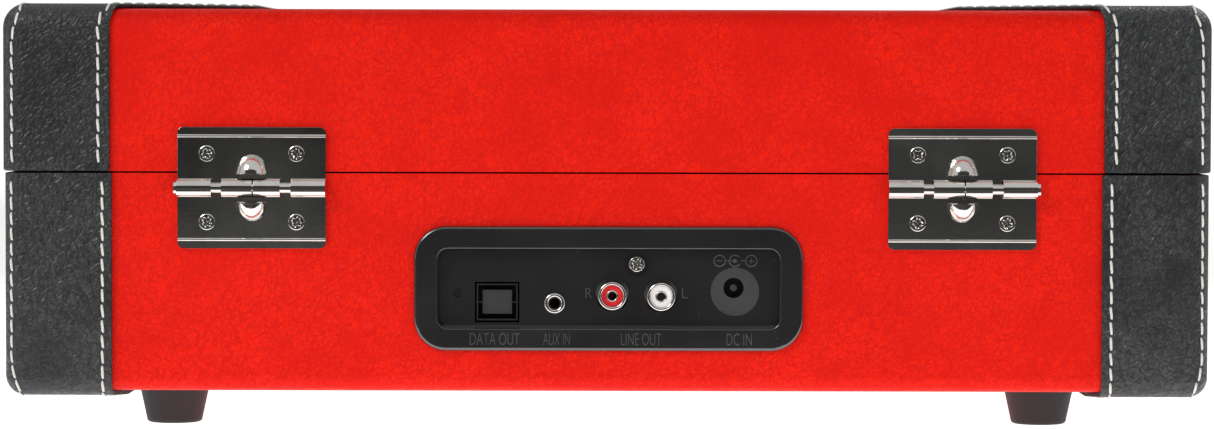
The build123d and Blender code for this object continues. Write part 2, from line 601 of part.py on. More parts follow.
def tonearm():
    """Tube, pivot block, rear weight and headshell, balanced about the pitch axis."""
    head_y = ARM_Y - ARM_LENGTH
    tube = rod_y(ARM_TUBE_R, ARM_X, head_y + 28, ARM_Y + 14, ARM_TUBE_Z)
    hub = block(ARM_X - 8.6, ARM_X + 8.6, ARM_Y - 7, ARM_Y + 7, ARM_AXIS_Z - 5, ARM_AXIS_Z + 6)
    hub = fillet(hub.edges().filter_by(Axis.X), 2.5)
    weight = rod_y(8, ARM_X, ARM_Y + 14, ARM_Y + 34, ARM_TUBE_Z)
    weight = chamfer(weight.edges().filter_by(GeomType.CIRCLE), 1.2)
    shell = block(ARM_X - 8.5, ARM_X + 8.5, head_y - 6, head_y + 30, 90.2, 97.0)
    shell = fillet(shell.edges().filter_by(Axis.Z), 4.0)
    shell = fillet(shell.faces().sort_by(Axis.Z)[-1].edges(), 1.5)
    lift = block(ARM_X + 8, ARM_X + 18, head_y - 3, head_y + 1, 92.0, 93.4)
    lift = fillet(lift.edges().filter_by(Axis.Z), 1.8)
    pins = rod_x(1.5, ARM_X - 11.8, ARM_X + 11.8, ARM_Y, ARM_AXIS_Z)
    return tube + hub + weight + shell + lift + pins


def cartridge():
    head_y = ARM_Y - ARM_LENGTH
    body = block(ARM_X - 6, ARM_X + 6, head_y + 2, head_y + 24, 86.8, 90.2)
    return fillet(body.edges().filter_by(Axis.Z), 1.0)


def stylus():
    head_y = ARM_Y - ARM_LENGTH
    holder = block(ARM_X - 4, ARM_X + 4, head_y - 3, head_y + 2, 87.0, 90.2)
    holder = chamfer(holder.edges().filter_by(Axis.X).group_by(Axis.Y)[0].sort_by(Axis.Z)[0], 1.5)
    tip = Pos(ARM_X, head_y, (STYLUS_Z + 87.2) / 2) * Cone(0.3, 1.0, 87.2 - STYLUS_Z)
    return holder + tip


def arm_rest():
    """A J-shaped rest, open towards the platter, so the arm swings straight off it."""
    right = ARM_X + ARM_TUBE_R + 0.5
    shelf = block(ARM_X - 4.5, right + 4, REST_Y - 4, REST_Y + 4, DECK_Z, CUE_TOP_Z)
    slot = block(ARM_X - 10, ARM_X + 1.5, REST_Y - 5, REST_Y + 5, DECK_Z + 4, CUE_TOP_Z - 3)
    post = block(right, right + 4, REST_Y - 4, REST_Y + 4, DECK_Z, 97.5)
    ears = []
    for y0 in (REST_Y - 4, REST_Y + 2):
        ears.append(block(right, right + 4, y0, y0 + 2, 97.5, 101.5))
    body = shelf - slot + post + ears
    return body - rod_y(0.8 + FIT, right + 2, REST_Y - 5, REST_Y + 5, 99.8)


def arm_clip():
    """The clip that keeps the arm on its rest, standing open."""
    x = ARM_X + ARM_TUBE_R + 2.5
    barrel = rod_y(1.5, x, REST_Y - 1.6, REST_Y + 1.6, 99.8)
    strap = block(x - 0.6, x + 0.6, REST_Y - 1.6, REST_Y + 1.6, 99.8, 112.6)
    hook = block(x - 2.6, x + 0.6, REST_Y - 1.6, REST_Y + 1.6, 111.4, 112.6)
    pin = rod_y(0.8, x, REST_Y - 3.9, REST_Y + 3.9, 99.8)
    return barrel + strap + hook + pin


def cue_base():
    px, py = CUE_POST
    body = block(112.5, 126, py - 5, CUE_LEVER_Y + 7, DECK_Z, 84.0)
    body = fillet(body.edges().filter_by(Axis.Z), 2.0)
    body = body - rod_z(2.0 + FIT, px, py, DECK_Z + 1.5, 85)
    return body - rod_x(1.5 + FIT, 118, 127, CUE_LEVER_Y, CUE_LEVER_Z)


def cue_bar():
    """The curved bar that raises the arm, on its sliding post."""
    px, py = CUE_POST
    ring = Circle(CUE_R + 1.5) - Circle(CUE_R - 1.5)
    sector = [(0, 0)]
    for angle in range(-8, 57, 8):
        a = radians(angle)
        sector.append((-60 * sin(a), -60 * cos(a)))
    arc = ring & make_face(Polyline(*sector, close=True))
    arc = Pos(ARM_X, ARM_Y, CUE_TOP_Z - 2) * extrude(arc, 2)
    arm = block(ARM_X + 2, px + 2.5, py - 1.5, py + 1.5, CUE_TOP_Z - 2, CUE_TOP_Z)
    arm = fillet(arm.edges().filter_by(Axis.Z).sort_by(Axis.X)[-2:], 1.4)
    return arc + arm + rod_z(2.0, px, py, 78, CUE_TOP_Z - 1)


def cue_lever():
    shaft = rod_x(1.5, 118.5, 128, CUE_LEVER_Y, CUE_LEVER_Z)
    hub = rod_x(3.2, 126.5, 129.5, CUE_LEVER_Y, CUE_LEVER_Z)
    arm = block(126.5, 129.5, CUE_LEVER_Y - 24, CUE_LEVER_Y, CUE_LEVER_Z - 1.4, CUE_LEVER_Z + 1.4)
    pad = block(125.5, 130.5, CUE_LEVER_Y - 26, CUE_LEVER_Y - 18, CUE_LEVER_Z + 0.4, CUE_LEVER_Z + 2.2)
    pad = fillet(pad.edges().filter_by(Axis.Z), 1.5)
    return shaft + hub + arm + pad


# --- controls -------------------------------------------------------------------------------
def knob(place):
    """A knob with a pointer groove and its shaft."""
    x, y = place
    cap = Pos(x, y, DECK_Z + 5.3) * Cone(9.2, 8.4, 9.2)
    cap = fillet(cap.edges().filter_by(GeomType.CIRCLE).sort_by(Axis.Z)[-1], 0.9)
    pointer = block(x - 0.5, x + 0.5, y + 2.5, y + 10, DECK_Z + 9.3, DECK_Z + 11)
    return cap - pointer + rod_z(3.0, x, y, 64.0, DECK_Z + 2)


def control(place):
    """The potentiometer or switch under a knob."""
    x, y = place
    can = rod_z(8.0, x, y, 61.0, DECK_Z - DECK_T)
    return can - rod_z(3.0 + FIT, x, y, 63.5, 80)


def slider(place, width):
    """A switch button through its slot, with its runner under the deck."""
    x, y = place
    runner = block(x - 4.5, x + 4.5, y - 4.5, y + 4.5, 67.0, DECK_Z - DECK_T - 0.3)
    stem = block(x - 1.5, x + 1.5, y - 2.2, y + 2.2, 69, DECK_Z + 4)
    grip = block(x - width / 2, x + width / 2, y - 2.6, y + 2.6, DECK_Z + 0.4, DECK_Z + 5.5)
    grip = fillet(grip.edges().filter_by(Axis.Z), 1.2)
    return runner + stem + grip


def adapter():
    x, y = ADAPTER
    body = rod_z(19.05, x, y, DECK_Z + 0.1, DECK_Z + 4.6)
    body = chamfer(body.edges().filter_by(GeomType.CIRCLE), 0.7)
    body = body + rod_z(9, x, y, DECK_Z + 4.6, DECK_Z + 6.4)
    return body - rod_z(3.65, x, y, DECK_Z, DECK_Z + 9)


# --- front hardware -------------------------------------------------------------------------
def latch_plate(side):
    x = side * LATCH_X
    face = -FACE_Y
    plate = block(x - 10, x + 10, face - 1.2, face, 42, 70)
    plate = fillet(plate.edges().filter_by(Axis.Y), 2.5)
    ears = []
    for s in (-1, 1):
        ears.append(block(x + s * 5.2, x + s * 6.8, LATCH_Y, face - 1.2, LATCH_Z - 2.4, LATCH_Z + 2.4))
        ears.append(rod_x(2.4, x + s * 5.2, x + s * 6.8, LATCH_Y, LATCH_Z))
    return plate + ears - rod_x(1.25 + FIT, x - 15, x + 15, LATCH_Y, LATCH_Z)


def latch_lever(side):
    x = side * LATCH_X
    outer = -FACE_Y - 8.2
    front = block(x - 9, x + 9, outer, outer + 1.2, 41, LATCH_Z + 1.5)
    lip = block(x - 9, x + 9, outer - 1.6, outer, 41, 43.2)
    flanges = []
    for s in (-1, 1):
        flanges.append(block(x + s * 7.8, x + s * 9, outer + 1.2, LATCH_Y + 2.0, 52, LATCH_Z + 1.5))
    pin = rod_x(1.25, x - 9, x + 9, LATCH_Y, LATCH_Z)
    body = front + lip + flanges + pin
    for near, far in ((x - 15, x - 7), (x + 7, x + 15)):
        body = body - rod_x(0.9 + FIT, near, far, BAIL_Y, BAIL_Z)
    return body


def latch_bail(side):
    """The wire loop, hanging free below its pivots in the lever."""
    x = side * LATCH_X
    leg_x = 10.9
    low = BAIL_Z - BAIL_LENGTH
    cross = rod_x(WIRE_R, x - leg_x + 3, x + leg_x - 3, BAIL_Y, low)
    body = cross
    for s in (-1, 1):
        body = body + rod_z(WIRE_R, x + s * leg_x, BAIL_Y, low + 3, BAIL_Z)
        bend = Pos(x + s * (leg_x - 3), BAIL_Y, low + 3) * Rot(90, 0, 0) * Torus(3, WIRE_R)
        corner = block(x + s * (leg_x - 3), x + s * (leg_x + 3), BAIL_Y - 3, BAIL_Y + 3, low - 3, low + 3)
        body = body + (bend & corner)
        body = body + Pos(x + s * leg_x, BAIL_Y, BAIL_Z) * Sphere(WIRE_R)
        body = body + rod_x(0.9, x + s * 7.9, x + s * leg_x, BAIL_Y, BAIL_Z)
    return body


def latch_strike(side):
    """The hook on the lid that takes the loop."""
    x = side * LATCH_X
    face = -FACE_Y
    plate = block(x - 8, x + 8, face - 1.2, face, 78, 96)
    plate = fillet(plate.edges().filter_by(Axis.Y), 2.5)
    shelf = block(x - 6.5, x + 6.5, face - 7.8, face - 1.2, 79.6, 81.0)
    lip = block(x - 6.5, x + 6.5, face - 7.8, face - 6.4, 79.6, 84.0)
    return plate + shelf + lip


def handle():
    """A moulded grip on two arms, hanging from its pivots."""
    half = HANDLE_HALF_W
    low = HANDLE_Z - HANDLE_DROP
    outer = make_face(Polyline((-half, HANDLE_Z + 4), (half, HANDLE_Z + 4), (half, low - 6.5),
                               (-half, low - 6.5), close=True))
    outer = fillet(outer.vertices().group_by(Axis.Y)[0], 18)
    outer = fillet(outer.vertices().group_by(Axis.Y)[-1], 3.8)
    inner = make_face(Polyline((-half + 9, HANDLE_Z + 8), (half - 9, HANDLE_Z + 8), (half - 9, low + 6.5),
                               (-half + 9, low + 6.5), close=True))
    inner = fillet(inner.vertices().group_by(Axis.Y)[0], 10)
    body = plate_y(outer - inner, 0, 0, HANDLE_Y + GRIP_T / 2, GRIP_T)
    body = fillet(body.faces().sort_by(Axis.Y)[0].edges() + body.faces().sort_by(Axis.Y)[-1].edges(), 3.2)
    for s in (-1, 1):
        body = body + rod_x(2.0, s * (half - 5), s * (half + 8), HANDLE_Y, HANDLE_Z)
    return body


def handle_bracket(side):
    face = -FACE_Y
    x0 = HANDLE_HALF_W + 0.6
    x1 = x0 + 8
    plate = block(side * (x0 - 1), side * (x1 + 9), face - 1.4, face, HANDLE_Z - 9, HANDLE_Z + 9)
    plate = fillet(plate.edges().filter_by(Axis.Y), 3)
    eye = rod_x(4.6, side * x0, side * x1, HANDLE_Y, HANDLE_Z)
    web = block(side * x0, side * x1, face, HANDLE_Y, HANDLE_Z - 4.6, HANDLE_Z + 4.6)
    return plate + eye + web - rod_x(2.0 + FIT, side * (x0 - 5), side * (x0 + 7.6), HANDLE_Y, HANDLE_Z)


# --- all nodes ------------------------------------------------------------------------------
def save(name, shape):
    """Move a node into the object's frame and write it."""
    export_step(Pos(0, CASE_Y, 0) * shape, f"parts/{name}.step")


def main():
    os.makedirs("parts", exist_ok=True)
    nodes = {}
    nodes.update(base_case())
    nodes.update(lid_case())
    nodes.update(hinges())
    nodes.update(jacks())
    nodes.update(sockets_and_lamp())
    nodes.update({
        "feet": foot(*FOOT_PLACES[0]) + [foot(x, y) for x, y in FOOT_PLACES[1:]],
        "deck": deck(),
        "speakers": both_sides(speaker),
        "platter": platter(),
        "spindle": spindle(),
        "platter_mat": mat(),
        "motor": motor(),
        "motor_pulley": pulley(),
        "drive_belt": belt(),
        "tonearm_base": tonearm_base(),
        "tonearm_yoke": tonearm_yoke(),
        "tonearm": tonearm(),
        "cartridge": cartridge(),
        "stylus": stylus(),
        "arm_rest": arm_rest(),
        "arm_clip": arm_clip(),
        "cue_base": cue_base(),
        "cue_bar": cue_bar(),
        "cue_lever": cue_lever(),
        "volume_knob": knob(VOLUME),
        "mode_knob": knob(MODE),
        "controls": control(VOLUME) + control(MODE),
        "speed_switch": slider(SPEED, 9),
        "auto_stop_switch": slider(AUTO_STOP, 7),
        "adapter_45": adapter(),
        "latch_plates": both_sides(latch_plate),
        "latch_strikes": both_sides(latch_strike),
        "handle": handle(),
        "handle_brackets": both_sides(handle_bracket),
    })
    for side, word in ((-1, "left"), (1, "right")):
        nodes[f"latch_lever_{word}"] = latch_lever(side)
        nodes[f"latch_bail_{word}"] = latch_bail(side)
    for name, shape in nodes.items():
        save(name, shape)
    print(len(nodes), "nodes")


main()
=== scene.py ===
"""Suitcase record player: finishes, stitching, labels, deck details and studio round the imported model."""
import json
import math
import random

import bmesh
import bpy
from mathutils import Euler, Matrix, Vector


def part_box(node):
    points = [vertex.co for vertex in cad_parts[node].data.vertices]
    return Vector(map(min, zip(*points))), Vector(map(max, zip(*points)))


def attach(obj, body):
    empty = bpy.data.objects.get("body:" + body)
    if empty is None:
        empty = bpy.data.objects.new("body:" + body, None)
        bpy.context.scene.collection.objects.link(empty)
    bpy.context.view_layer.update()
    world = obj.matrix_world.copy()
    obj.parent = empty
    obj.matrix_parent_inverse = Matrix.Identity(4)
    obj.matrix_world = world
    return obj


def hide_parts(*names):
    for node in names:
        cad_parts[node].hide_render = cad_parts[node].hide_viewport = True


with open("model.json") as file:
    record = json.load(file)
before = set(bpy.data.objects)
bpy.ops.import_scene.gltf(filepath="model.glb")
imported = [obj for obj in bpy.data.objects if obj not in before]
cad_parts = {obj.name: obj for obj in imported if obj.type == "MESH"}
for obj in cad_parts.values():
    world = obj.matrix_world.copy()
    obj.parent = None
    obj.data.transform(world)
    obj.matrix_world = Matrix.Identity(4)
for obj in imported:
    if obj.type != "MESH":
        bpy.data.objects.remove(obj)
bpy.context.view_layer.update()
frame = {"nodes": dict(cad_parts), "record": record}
nodes = frame["nodes"]

MM = 0.001
random.seed(11)

# --- places taken from the frame, in metres ---------------------------------------------------
LID_LOW, LID_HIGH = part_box("lid_wraps")
BASE_LOW, BASE_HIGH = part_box("base_wraps")
DECK_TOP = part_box("deck")[1].z
PANEL_LOW, PANEL_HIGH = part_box("jack_panel")
PLATTER_LOW, PLATTER_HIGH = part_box("platter")
MAT_LOW, MAT_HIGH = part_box("platter_mat")
CASE_Y = (LID_LOW.y + LID_HIGH.y) / 2
CASE_HALF_D = (LID_HIGH.y - LID_LOW.y) / 2
REAR_Y = LID_HIGH.y                       # outer face of the leather at the rear
WRAP_T = 1.5 * MM
LID_WRAP_X = 145.5 * MM                   # inner edges of the end wraps
BASE_WRAP_X = 145.0 * MM
PATCH_X = 107.0 * MM
FOLD_X = 141.0 * MM
WRAP_TURN = 3.5 * MM                      # from a face to where a wrap's edge turns diagonal
LID_LEAN = 1.8 * MM                       # how far a lid wrap pulls inwards over the top edge
LEAN_END_X = 160.0 * MM                   # where that pull has faded to nothing
LEAN_FADE = 10.0 * MM
LID_WRAP_R = 7.0 * MM
BASE_WRAP_R = 6.0 * MM
RECESS_FLOOR_Y = PANEL_HIGH.y - 3.6 * MM
FACE_Y = REAR_Y - WRAP_T                  # the red rear face
HINGE_X = 104.0 * MM
HINGE_Z = 71.3 * MM
LEAF_FACE_Y = FACE_Y + 1.2 * MM
LEAF_SCREW_X = 13.1 * MM                  # hinge screws, from the hinge's middle
LEAF_SCREW_Z = 10.0 * MM
SEAM_Z = (LID_LOW.z + BASE_HIGH.z) / 2     # where lid and base meet
RIM_BINDING = 2.4 * MM                    # how far black cloth reaches from the seam
AUX = (15.3 * MM, 37.5 * MM)
PHONO = ((-1.6 * MM, 39.9 * MM), (-15.9 * MM, 39.7 * MM))
DATA = (32.2 * MM, 37.8 * MM)
PANEL_SCREW = (-8.8 * MM, 49.0 * MM)
POLARITY_X = (-33.1 * MM, -37.6 * MM, -42.4 * MM)
POLARITY_Z = 50.1 * MM
FEET = [(sx * 130 * MM, CASE_Y + sy * 100 * MM) for sx in (-1, 1) for sy in (-1, 1)]


# --- shader helpers ---------------------------------------------------------------------------
class Finish:
    """A procedural material and the short calls that wire it."""

    def __init__(self, name, **sockets):
        self.material = bpy.data.materials.new(name)
        self.material.use_nodes = True
        self.tree = self.material.node_tree
        self.bsdf = self.tree.nodes["Principled BSDF"]
        self.place = self.add("ShaderNodeTexCoord").outputs["Object"]
        self.normal = None
        for socket, value in sockets.items():
            self.bsdf.inputs[socket.replace("_", " ")].default_value = value

    def add(self, kind, **settings):
        node = self.tree.nodes.new(kind)
        for key, value in settings.items():
            setattr(node, key, value)
        return node

    def feed(self, node, **inputs):
        for key, value in inputs.items():
            socket = node.inputs[key.replace("_", " ")]
            if isinstance(value, bpy.types.NodeSocket):
                self.tree.links.new(value, socket)
            else:
                socket.default_value = value
        return node

    def stretched(self, scale, turn=(0.0, 0.0, 0.0)):
        """The object's coordinates, turned and scaled unevenly."""
        turned = self.add("ShaderNodeMapping")
        self.feed(turned, Vector=self.place, Rotation=turn)
        node = self.add("ShaderNodeMapping")
        self.feed(node, Vector=turned.outputs["Vector"], Scale=scale)
        return node.outputs["Vector"]

    def noise(self, size, detail=3.0, roughness=0.5, vector=None):
        node = self.add("ShaderNodeTexNoise")
        self.feed(node, Vector=vector or self.place, Scale=1 / size, Detail=detail, Roughness=roughness)
        return node.outputs["Fac"]

    def warped(self, size, amount, vector=None):
        """Coordinates pushed about by noise of one size."""
        noise = self.add("ShaderNodeTexNoise")
        self.feed(noise, Vector=vector or self.place, Scale=1 / size, Detail=2.0)
        centred = self.add("ShaderNodeVectorMath", operation="SUBTRACT")
        self.tree.links.new(noise.outputs["Color"], centred.inputs[0])
        centred.inputs[1].default_value = (0.5, 0.5, 0.5)
        scaled = self.add("ShaderNodeVectorMath", operation="SCALE")
        self.tree.links.new(centred.outputs[0], scaled.inputs[0])
        scaled.inputs["Scale"].default_value = amount
        total = self.add("ShaderNodeVectorMath", operation="ADD")
        self.tree.links.new(scaled.outputs[0], total.inputs[0])
        self.tree.links.new(vector or self.place, total.inputs[1])
        return total.outputs[0]

    def cells(self, size, vector=None, feature="DISTANCE_TO_EDGE"):
        node = self.add("ShaderNodeTexVoronoi", feature=feature)
        self.feed(node, Vector=vector or self.place, Scale=1 / size)
        return node.outputs["Distance"]

    def remap(self, value, low, high, to_low=0.0, to_high=1.0):
        node = self.add("ShaderNodeMapRange", interpolation_type="SMOOTHSTEP")
        self.feed(node, Value=value, From_Min=low, From_Max=high, To_Min=to_low, To_Max=to_high)
        return node.outputs["Result"]

    def math(self, operation, a, b=0.0):
        node = self.add("ShaderNodeMath", operation=operation)
        for socket, value in zip(node.inputs, (a, b)):
            if isinstance(value, bpy.types.NodeSocket):
                self.tree.links.new(value, socket)
            else:
                socket.default_value = value
        return node.outputs[0]

    def blend(self, factor, low, high):
        """A colour between two, by a factor."""
        node = self.add("ShaderNodeMix", data_type="RGBA")
        self.tree.links.new(factor, node.inputs["Factor"])
        for socket, value in ((node.inputs[6], low), (node.inputs[7], high)):
            if isinstance(value, bpy.types.NodeSocket):
                self.tree.links.new(value, socket)
            else:
                socket.default_value = (*value, 1.0)
        return node.outputs[2]

    def bump(self, height, depth, strength=1.0):
        """Adds one layer of relief, in metres, over the layers before it."""
        node = self.add("ShaderNodeBump")
        self.feed(node, Height=height, Distance=depth, Strength=strength)
        if self.normal is not None:
            self.tree.links.new(self.normal, node.inputs["Normal"])
        self.normal = node.outputs["Normal"]

    def done(self, colour=None, roughness=None, **more):
        """Wires the colour, roughness and relief to the surface."""
        links = {"Base Color": colour, "Roughness": roughness, "Normal": self.normal}
        links.update({key.replace("_", " "): value for key, value in more.items()})
        for socket, value in links.items():
            if value is None:
                continue
            if isinstance(value, bpy.types.NodeSocket):
                self.tree.links.new(value, self.bsdf.inputs[socket])
            else:
                self.bsdf.inputs[socket].default_value = value
        return self.material


# --- finishes ---------------------------------------------------------------------------------
def leather(name, dark, light, grain, relief, roughness, **sockets):
    """Grained leather or leatherette: soft pebbles crossed by slanting creases, over a slight sway, with
    painted shade in the creases and a painted highlight on the pebbles.
    """
    f = Finish(name, **sockets)
    slant = f.stretched((1.0, 1.0, 0.62), (0.0, 0.6, 0.0))
    loose = f.warped(grain * 2.4, grain * 1.9, slant)
    pebbles = f.remap(f.cells(grain, loose), 0.0, 0.3)
    folds = f.noise(grain * 1.9, detail=4.0, roughness=0.55, vector=f.warped(grain * 5, grain * 3, slant))
    creases = f.remap(f.math("ABSOLUTE", f.math("SUBTRACT", folds, 0.5)), 0.0, 0.075)
    fine = f.noise(grain * 0.4, detail=3.0, roughness=0.6)
    patchy = f.remap(f.noise(grain * 11, detail=3.0), 0.3, 0.7, 0.45, 1.0)
    sway = f.noise(grain * 26, detail=1.0)
    body = f.math("ADD", f.math("MULTIPLY", pebbles, 0.55), f.math("MULTIPLY", creases, 0.45))
    height = f.math("ADD", f.math("MULTIPLY", body, patchy), f.math("MULTIPLY", fine, 0.2))
    f.bump(sway, grain * 2.4, 0.35)
    f.bump(height, relief)
    # painted shade and highlight: the colour follows the relief, darker down in the creases and cell edges
    # and lighter on the raised pebbles, with a random sway of tone on top
    tone = f.math("ADD", f.math("MULTIPLY", height, 0.8), f.math("MULTIPLY", sway, 0.25))
    colour = f.blend(f.remap(tone, 0.15, 0.95), dark, light)
    rough = f.remap(height, 0.1, 0.9, roughness + 0.10, roughness - 0.06)
    return f.done(colour, rough)


def plated(name, colour, roughness, dust=0.25):
    """Polished plating with hairlines, handling marks and a little dust."""
    f = Finish(name, Metallic=1.0)
    streaks = f.noise(0.9 * MM, detail=4.0, vector=f.stretched((0.06, 1.0, 1.0)))
    haze = f.noise(9 * MM, detail=4.0, roughness=0.6)
    specks = f.remap(f.cells(1.5 * MM, f.warped(4 * MM, 3 * MM), "F1"), 0.0, 0.11, 1.0, 0.0)
    dusty = f.math("MULTIPLY", specks, f.remap(haze, 0.48, 0.68, 0.0, dust))
    f.bump(streaks, 0.0012 * MM)
    f.bump(haze, 0.010 * MM)
    dull = tuple(0.55 * c for c in colour)
    tone = f.blend(f.remap(haze, 0.3, 0.75), colour, tuple(0.86 * c for c in colour))
    shade = f.blend(dusty, tone, dull)
    worn = f.remap(haze, 0.35, 0.75, roughness, roughness * 1.8)
    return f.done(shade, f.math("ADD", worn, f.math("MULTIPLY", dusty, 0.5)))


def brushed(name, colour, roughness):
    """Zinc-plated or turned steel."""
    f = Finish(name, Metallic=1.0)
    grain = f.noise(0.35 * MM, detail=5.0, roughness=0.7)
    patches = f.noise(6 * MM, detail=3.0)
    f.bump(grain, 0.01 * MM)
    shade = f.blend(patches, colour, tuple(0.72 * c for c in colour))
    return f.done(shade, f.remap(grain, 0.3, 0.7, roughness * 0.8, roughness * 1.25))


def moulded(name, colour, roughness, texture=0.0, grain=0.5 * MM, dust=0.0, **sockets):
    """Moulded plastic: slight sink and flow, a spark-eroded texture, and settled dust."""
    f = Finish(name, **sockets)
    flow = f.noise(24 * MM, detail=2.0)
    fine = f.noise(grain, detail=4.0, roughness=0.65)
    f.bump(flow, 0.12 * MM)
    if texture:
        f.bump(fine, texture)
    lighter = tuple(min(1.0, c * 1.35 + 0.002) for c in colour)
    shade = f.blend(f.remap(f.math("ADD", flow, fine), 0.7, 1.3), colour, lighter)
    rough = f.remap(fine, 0.3, 0.7, roughness * 0.88, roughness * 1.15)
    if dust:
        specks = f.remap(f.cells(2.1 * MM, f.warped(5 * MM, 4 * MM), "F1"), 0.0, 0.09, 1.0, 0.0)
        patches = f.remap(f.noise(12 * MM, detail=3.0), 0.45, 0.7, 0.0, dust)
        dusty = f.math("MULTIPLY", specks, patches)
        shade = f.blend(dusty, shade, (0.35, 0.34, 0.32))
        rough = f.math("ADD", rough, f.math("MULTIPLY", dusty, 0.4))
    return f.done(shade, rough)


def woven(name, dark, light, thread):
    """Flocked or felted cloth."""
    f = Finish(name, Sheen_Weight=0.35, Sheen_Roughness=0.6)
    nap = f.noise(thread, detail=5.0, roughness=0.75)
    patches = f.noise(thread * 30, detail=3.0)
    f.bump(nap, thread * 0.5)
    shade = f.blend(f.remap(f.math("ADD", nap, f.math("MULTIPLY", patches, 0.5)), 0.45, 1.05), dark, light)
    return f.done(shade, f.remap(nap, 0.3, 0.7, 0.8, 0.98))


def board_fibre(name):
    """Raw fibreboard, bound with black book cloth round the rims where lid and base meet."""
    f = Finish(name)
    fibres = f.noise(0.8 * MM, detail=6.0, roughness=0.75, vector=f.stretched((0.35, 0.35, 1.0)))
    blotches = f.noise(14 * MM, detail=3.0)
    cloth = f.noise(0.45 * MM, detail=4.0, roughness=0.7)
    f.bump(fibres, 0.08 * MM)
    f.bump(cloth, 0.05 * MM)
    tone = f.remap(f.math("ADD", fibres, f.math("MULTIPLY", blotches, 0.4)), 0.45, 0.95)
    raw = f.blend(tone, (0.20, 0.125, 0.07), (0.47, 0.34, 0.22))
    bound = f.blend(f.remap(cloth, 0.3, 0.7), (0.010, 0.010, 0.011), (0.030, 0.030, 0.032))
    parts = f.add("ShaderNodeSeparateXYZ")
    f.tree.links.new(f.place, parts.inputs[0])
    off_seam = f.math("ABSOLUTE", f.math("SUBTRACT", parts.outputs["Z"], SEAM_Z))
    at_rim = f.remap(off_seam, RIM_BINDING - 0.1 * MM, RIM_BINDING + 0.1 * MM, 1.0, 0.0)
    return f.done(f.blend(at_rim, raw, bound), f.remap(fibres, 0.3, 0.7, 0.7, 0.9))


def thread(name, colour):
    """Two-ply sewing thread."""
    f = Finish(name, Sheen_Weight=0.2)
    twist = f.noise(0.28 * MM, detail=2.0)
    f.bump(twist, 0.10 * MM)
    shade = f.blend(f.remap(twist, 0.35, 0.7), tuple(0.62 * c for c in colour), colour)
    return f.done(shade, f.remap(twist, 0.3, 0.7, 0.6, 0.8))


def laminate(name):
    """Green circuit board with its woven glass and copper tracks."""
    f = Finish(name)
    tracks = f.remap(f.cells(3.2 * MM, feature="F1"), 0.30, 0.34)
    weave = f.noise(0.5 * MM, detail=2.0)
    f.bump(weave, 0.02 * MM)
    shade = f.blend(tracks, (0.02, 0.10, 0.035), (0.045, 0.17, 0.06))
    return f.done(shade, f.remap(weave, 0.3, 0.7, 0.3, 0.5))


def card_paint(name):
    """Black studio card with faint clouds that glow, a painted glow which the plating mirrors."""
    f = Finish(name, Emission_Color=(0.95, 0.97, 0.92, 1.0))
    clouds = f.noise(0.075, detail=4.0, roughness=0.6, vector=f.stretched((1.0, 1.0, 0.7)))
    # painted glow: the lighter clouds give off a faint light of their own, for the plating to mirror
    painted_glow = f.remap(clouds, 0.44, 0.72, 0.0, 0.12)
    shade = f.blend(clouds, (0.006, 0.006, 0.006), (0.018, 0.018, 0.018))
    return f.done(shade, 0.9, Emission_Strength=painted_glow)


def studio_floor(name):
    """White table paper that glows: a painted pool of light, brightest round the object and fading outwards,
    then brighter again far off.
    """
    f = Finish(name, Emission_Color=(1.0, 1.0, 1.0, 1.0))
    mottled = f.noise(0.5, detail=3.0)
    distance = f.add("ShaderNodeVectorMath", operation="LENGTH")
    f.tree.links.new(f.place, distance.inputs[0])
    # painted pool of light: the paper's glow is strongest near the middle, under the object, and fades out by
    # 0.9 m
    near = f.remap(distance.outputs["Value"], 0.2, 0.9, 1.15, 0.5)
    painted_glow = f.math("ADD", near, f.remap(distance.outputs["Value"], 1.5, 4.0, 0.0, 0.45))
    colour = f.blend(mottled, (0.60, 0.60, 0.595), (0.64, 0.64, 0.64))
    return f.done(colour, f.remap(mottled, 0.3, 0.7, 0.8, 0.9), Emission_Strength=painted_glow)


FINISHES = {
    # each leather's darker colour is reached in the creases as painted shade, and its lighter one on the
    # pebbles as painted highlight
    "red_leatherette": leather("red_leatherette", (0.62, 0.0040, 0.0004), (0.80, 0.0105, 0.0008), 1.3 * MM,
                               0.15 * MM, 0.40, Specular_IOR_Level=0.13),
    "black_leather": leather("black_leather", (0.0080, 0.0090, 0.0103), (0.032, 0.0345, 0.037), 1.65 * MM,
                             0.42 * MM, 0.38, Specular_IOR_Level=0.55),
    "fibreboard": board_fibre("fibreboard"),
    "black_lining": woven("black_lining", (0.007, 0.007, 0.008), (0.026, 0.026, 0.028), 0.5 * MM),
    "black_gloss": moulded("black_gloss", (0.010, 0.010, 0.011), 0.12, dust=0.9, Coat_Weight=0.7,
                           Coat_Roughness=0.04, Coat_IOR=1.7, IOR=1.75),
    "black_matte": moulded("black_matte", (0.016, 0.016, 0.017), 0.42, texture=0.03 * MM, dust=0.15),
    "grey_plastic": moulded("grey_plastic", (0.043, 0.043, 0.045), 0.33, texture=0.01 * MM, dust=0.1),
    "white_plastic": moulded("white_plastic", (0.80, 0.80, 0.77), 0.28),
    "red_plastic": moulded("red_plastic", (0.62, 0.012, 0.018), 0.25),
    "lamp": moulded("lamp", (0.70, 0.05, 0.02), 0.12, Transmission_Weight=0.55, IOR=1.49),
    "nickel": plated("nickel", (0.80, 0.785, 0.75), 0.07),
    "steel": brushed("steel", (0.62, 0.61, 0.59), 0.26),
    "rubber": moulded("rubber", (0.012, 0.012, 0.013), 0.62, texture=0.05 * MM, grain=0.8 * MM, dust=0.35),
    "felt": woven("felt", (0.010, 0.010, 0.011), (0.034, 0.034, 0.036), 0.35 * MM),
    "board": laminate("board"),
    "diamond": moulded("diamond", (0.70, 0.08, 0.03), 0.2, Coat_Weight=0.4),
    "alloy": brushed("alloy", (0.10, 0.10, 0.105), 0.34),
}
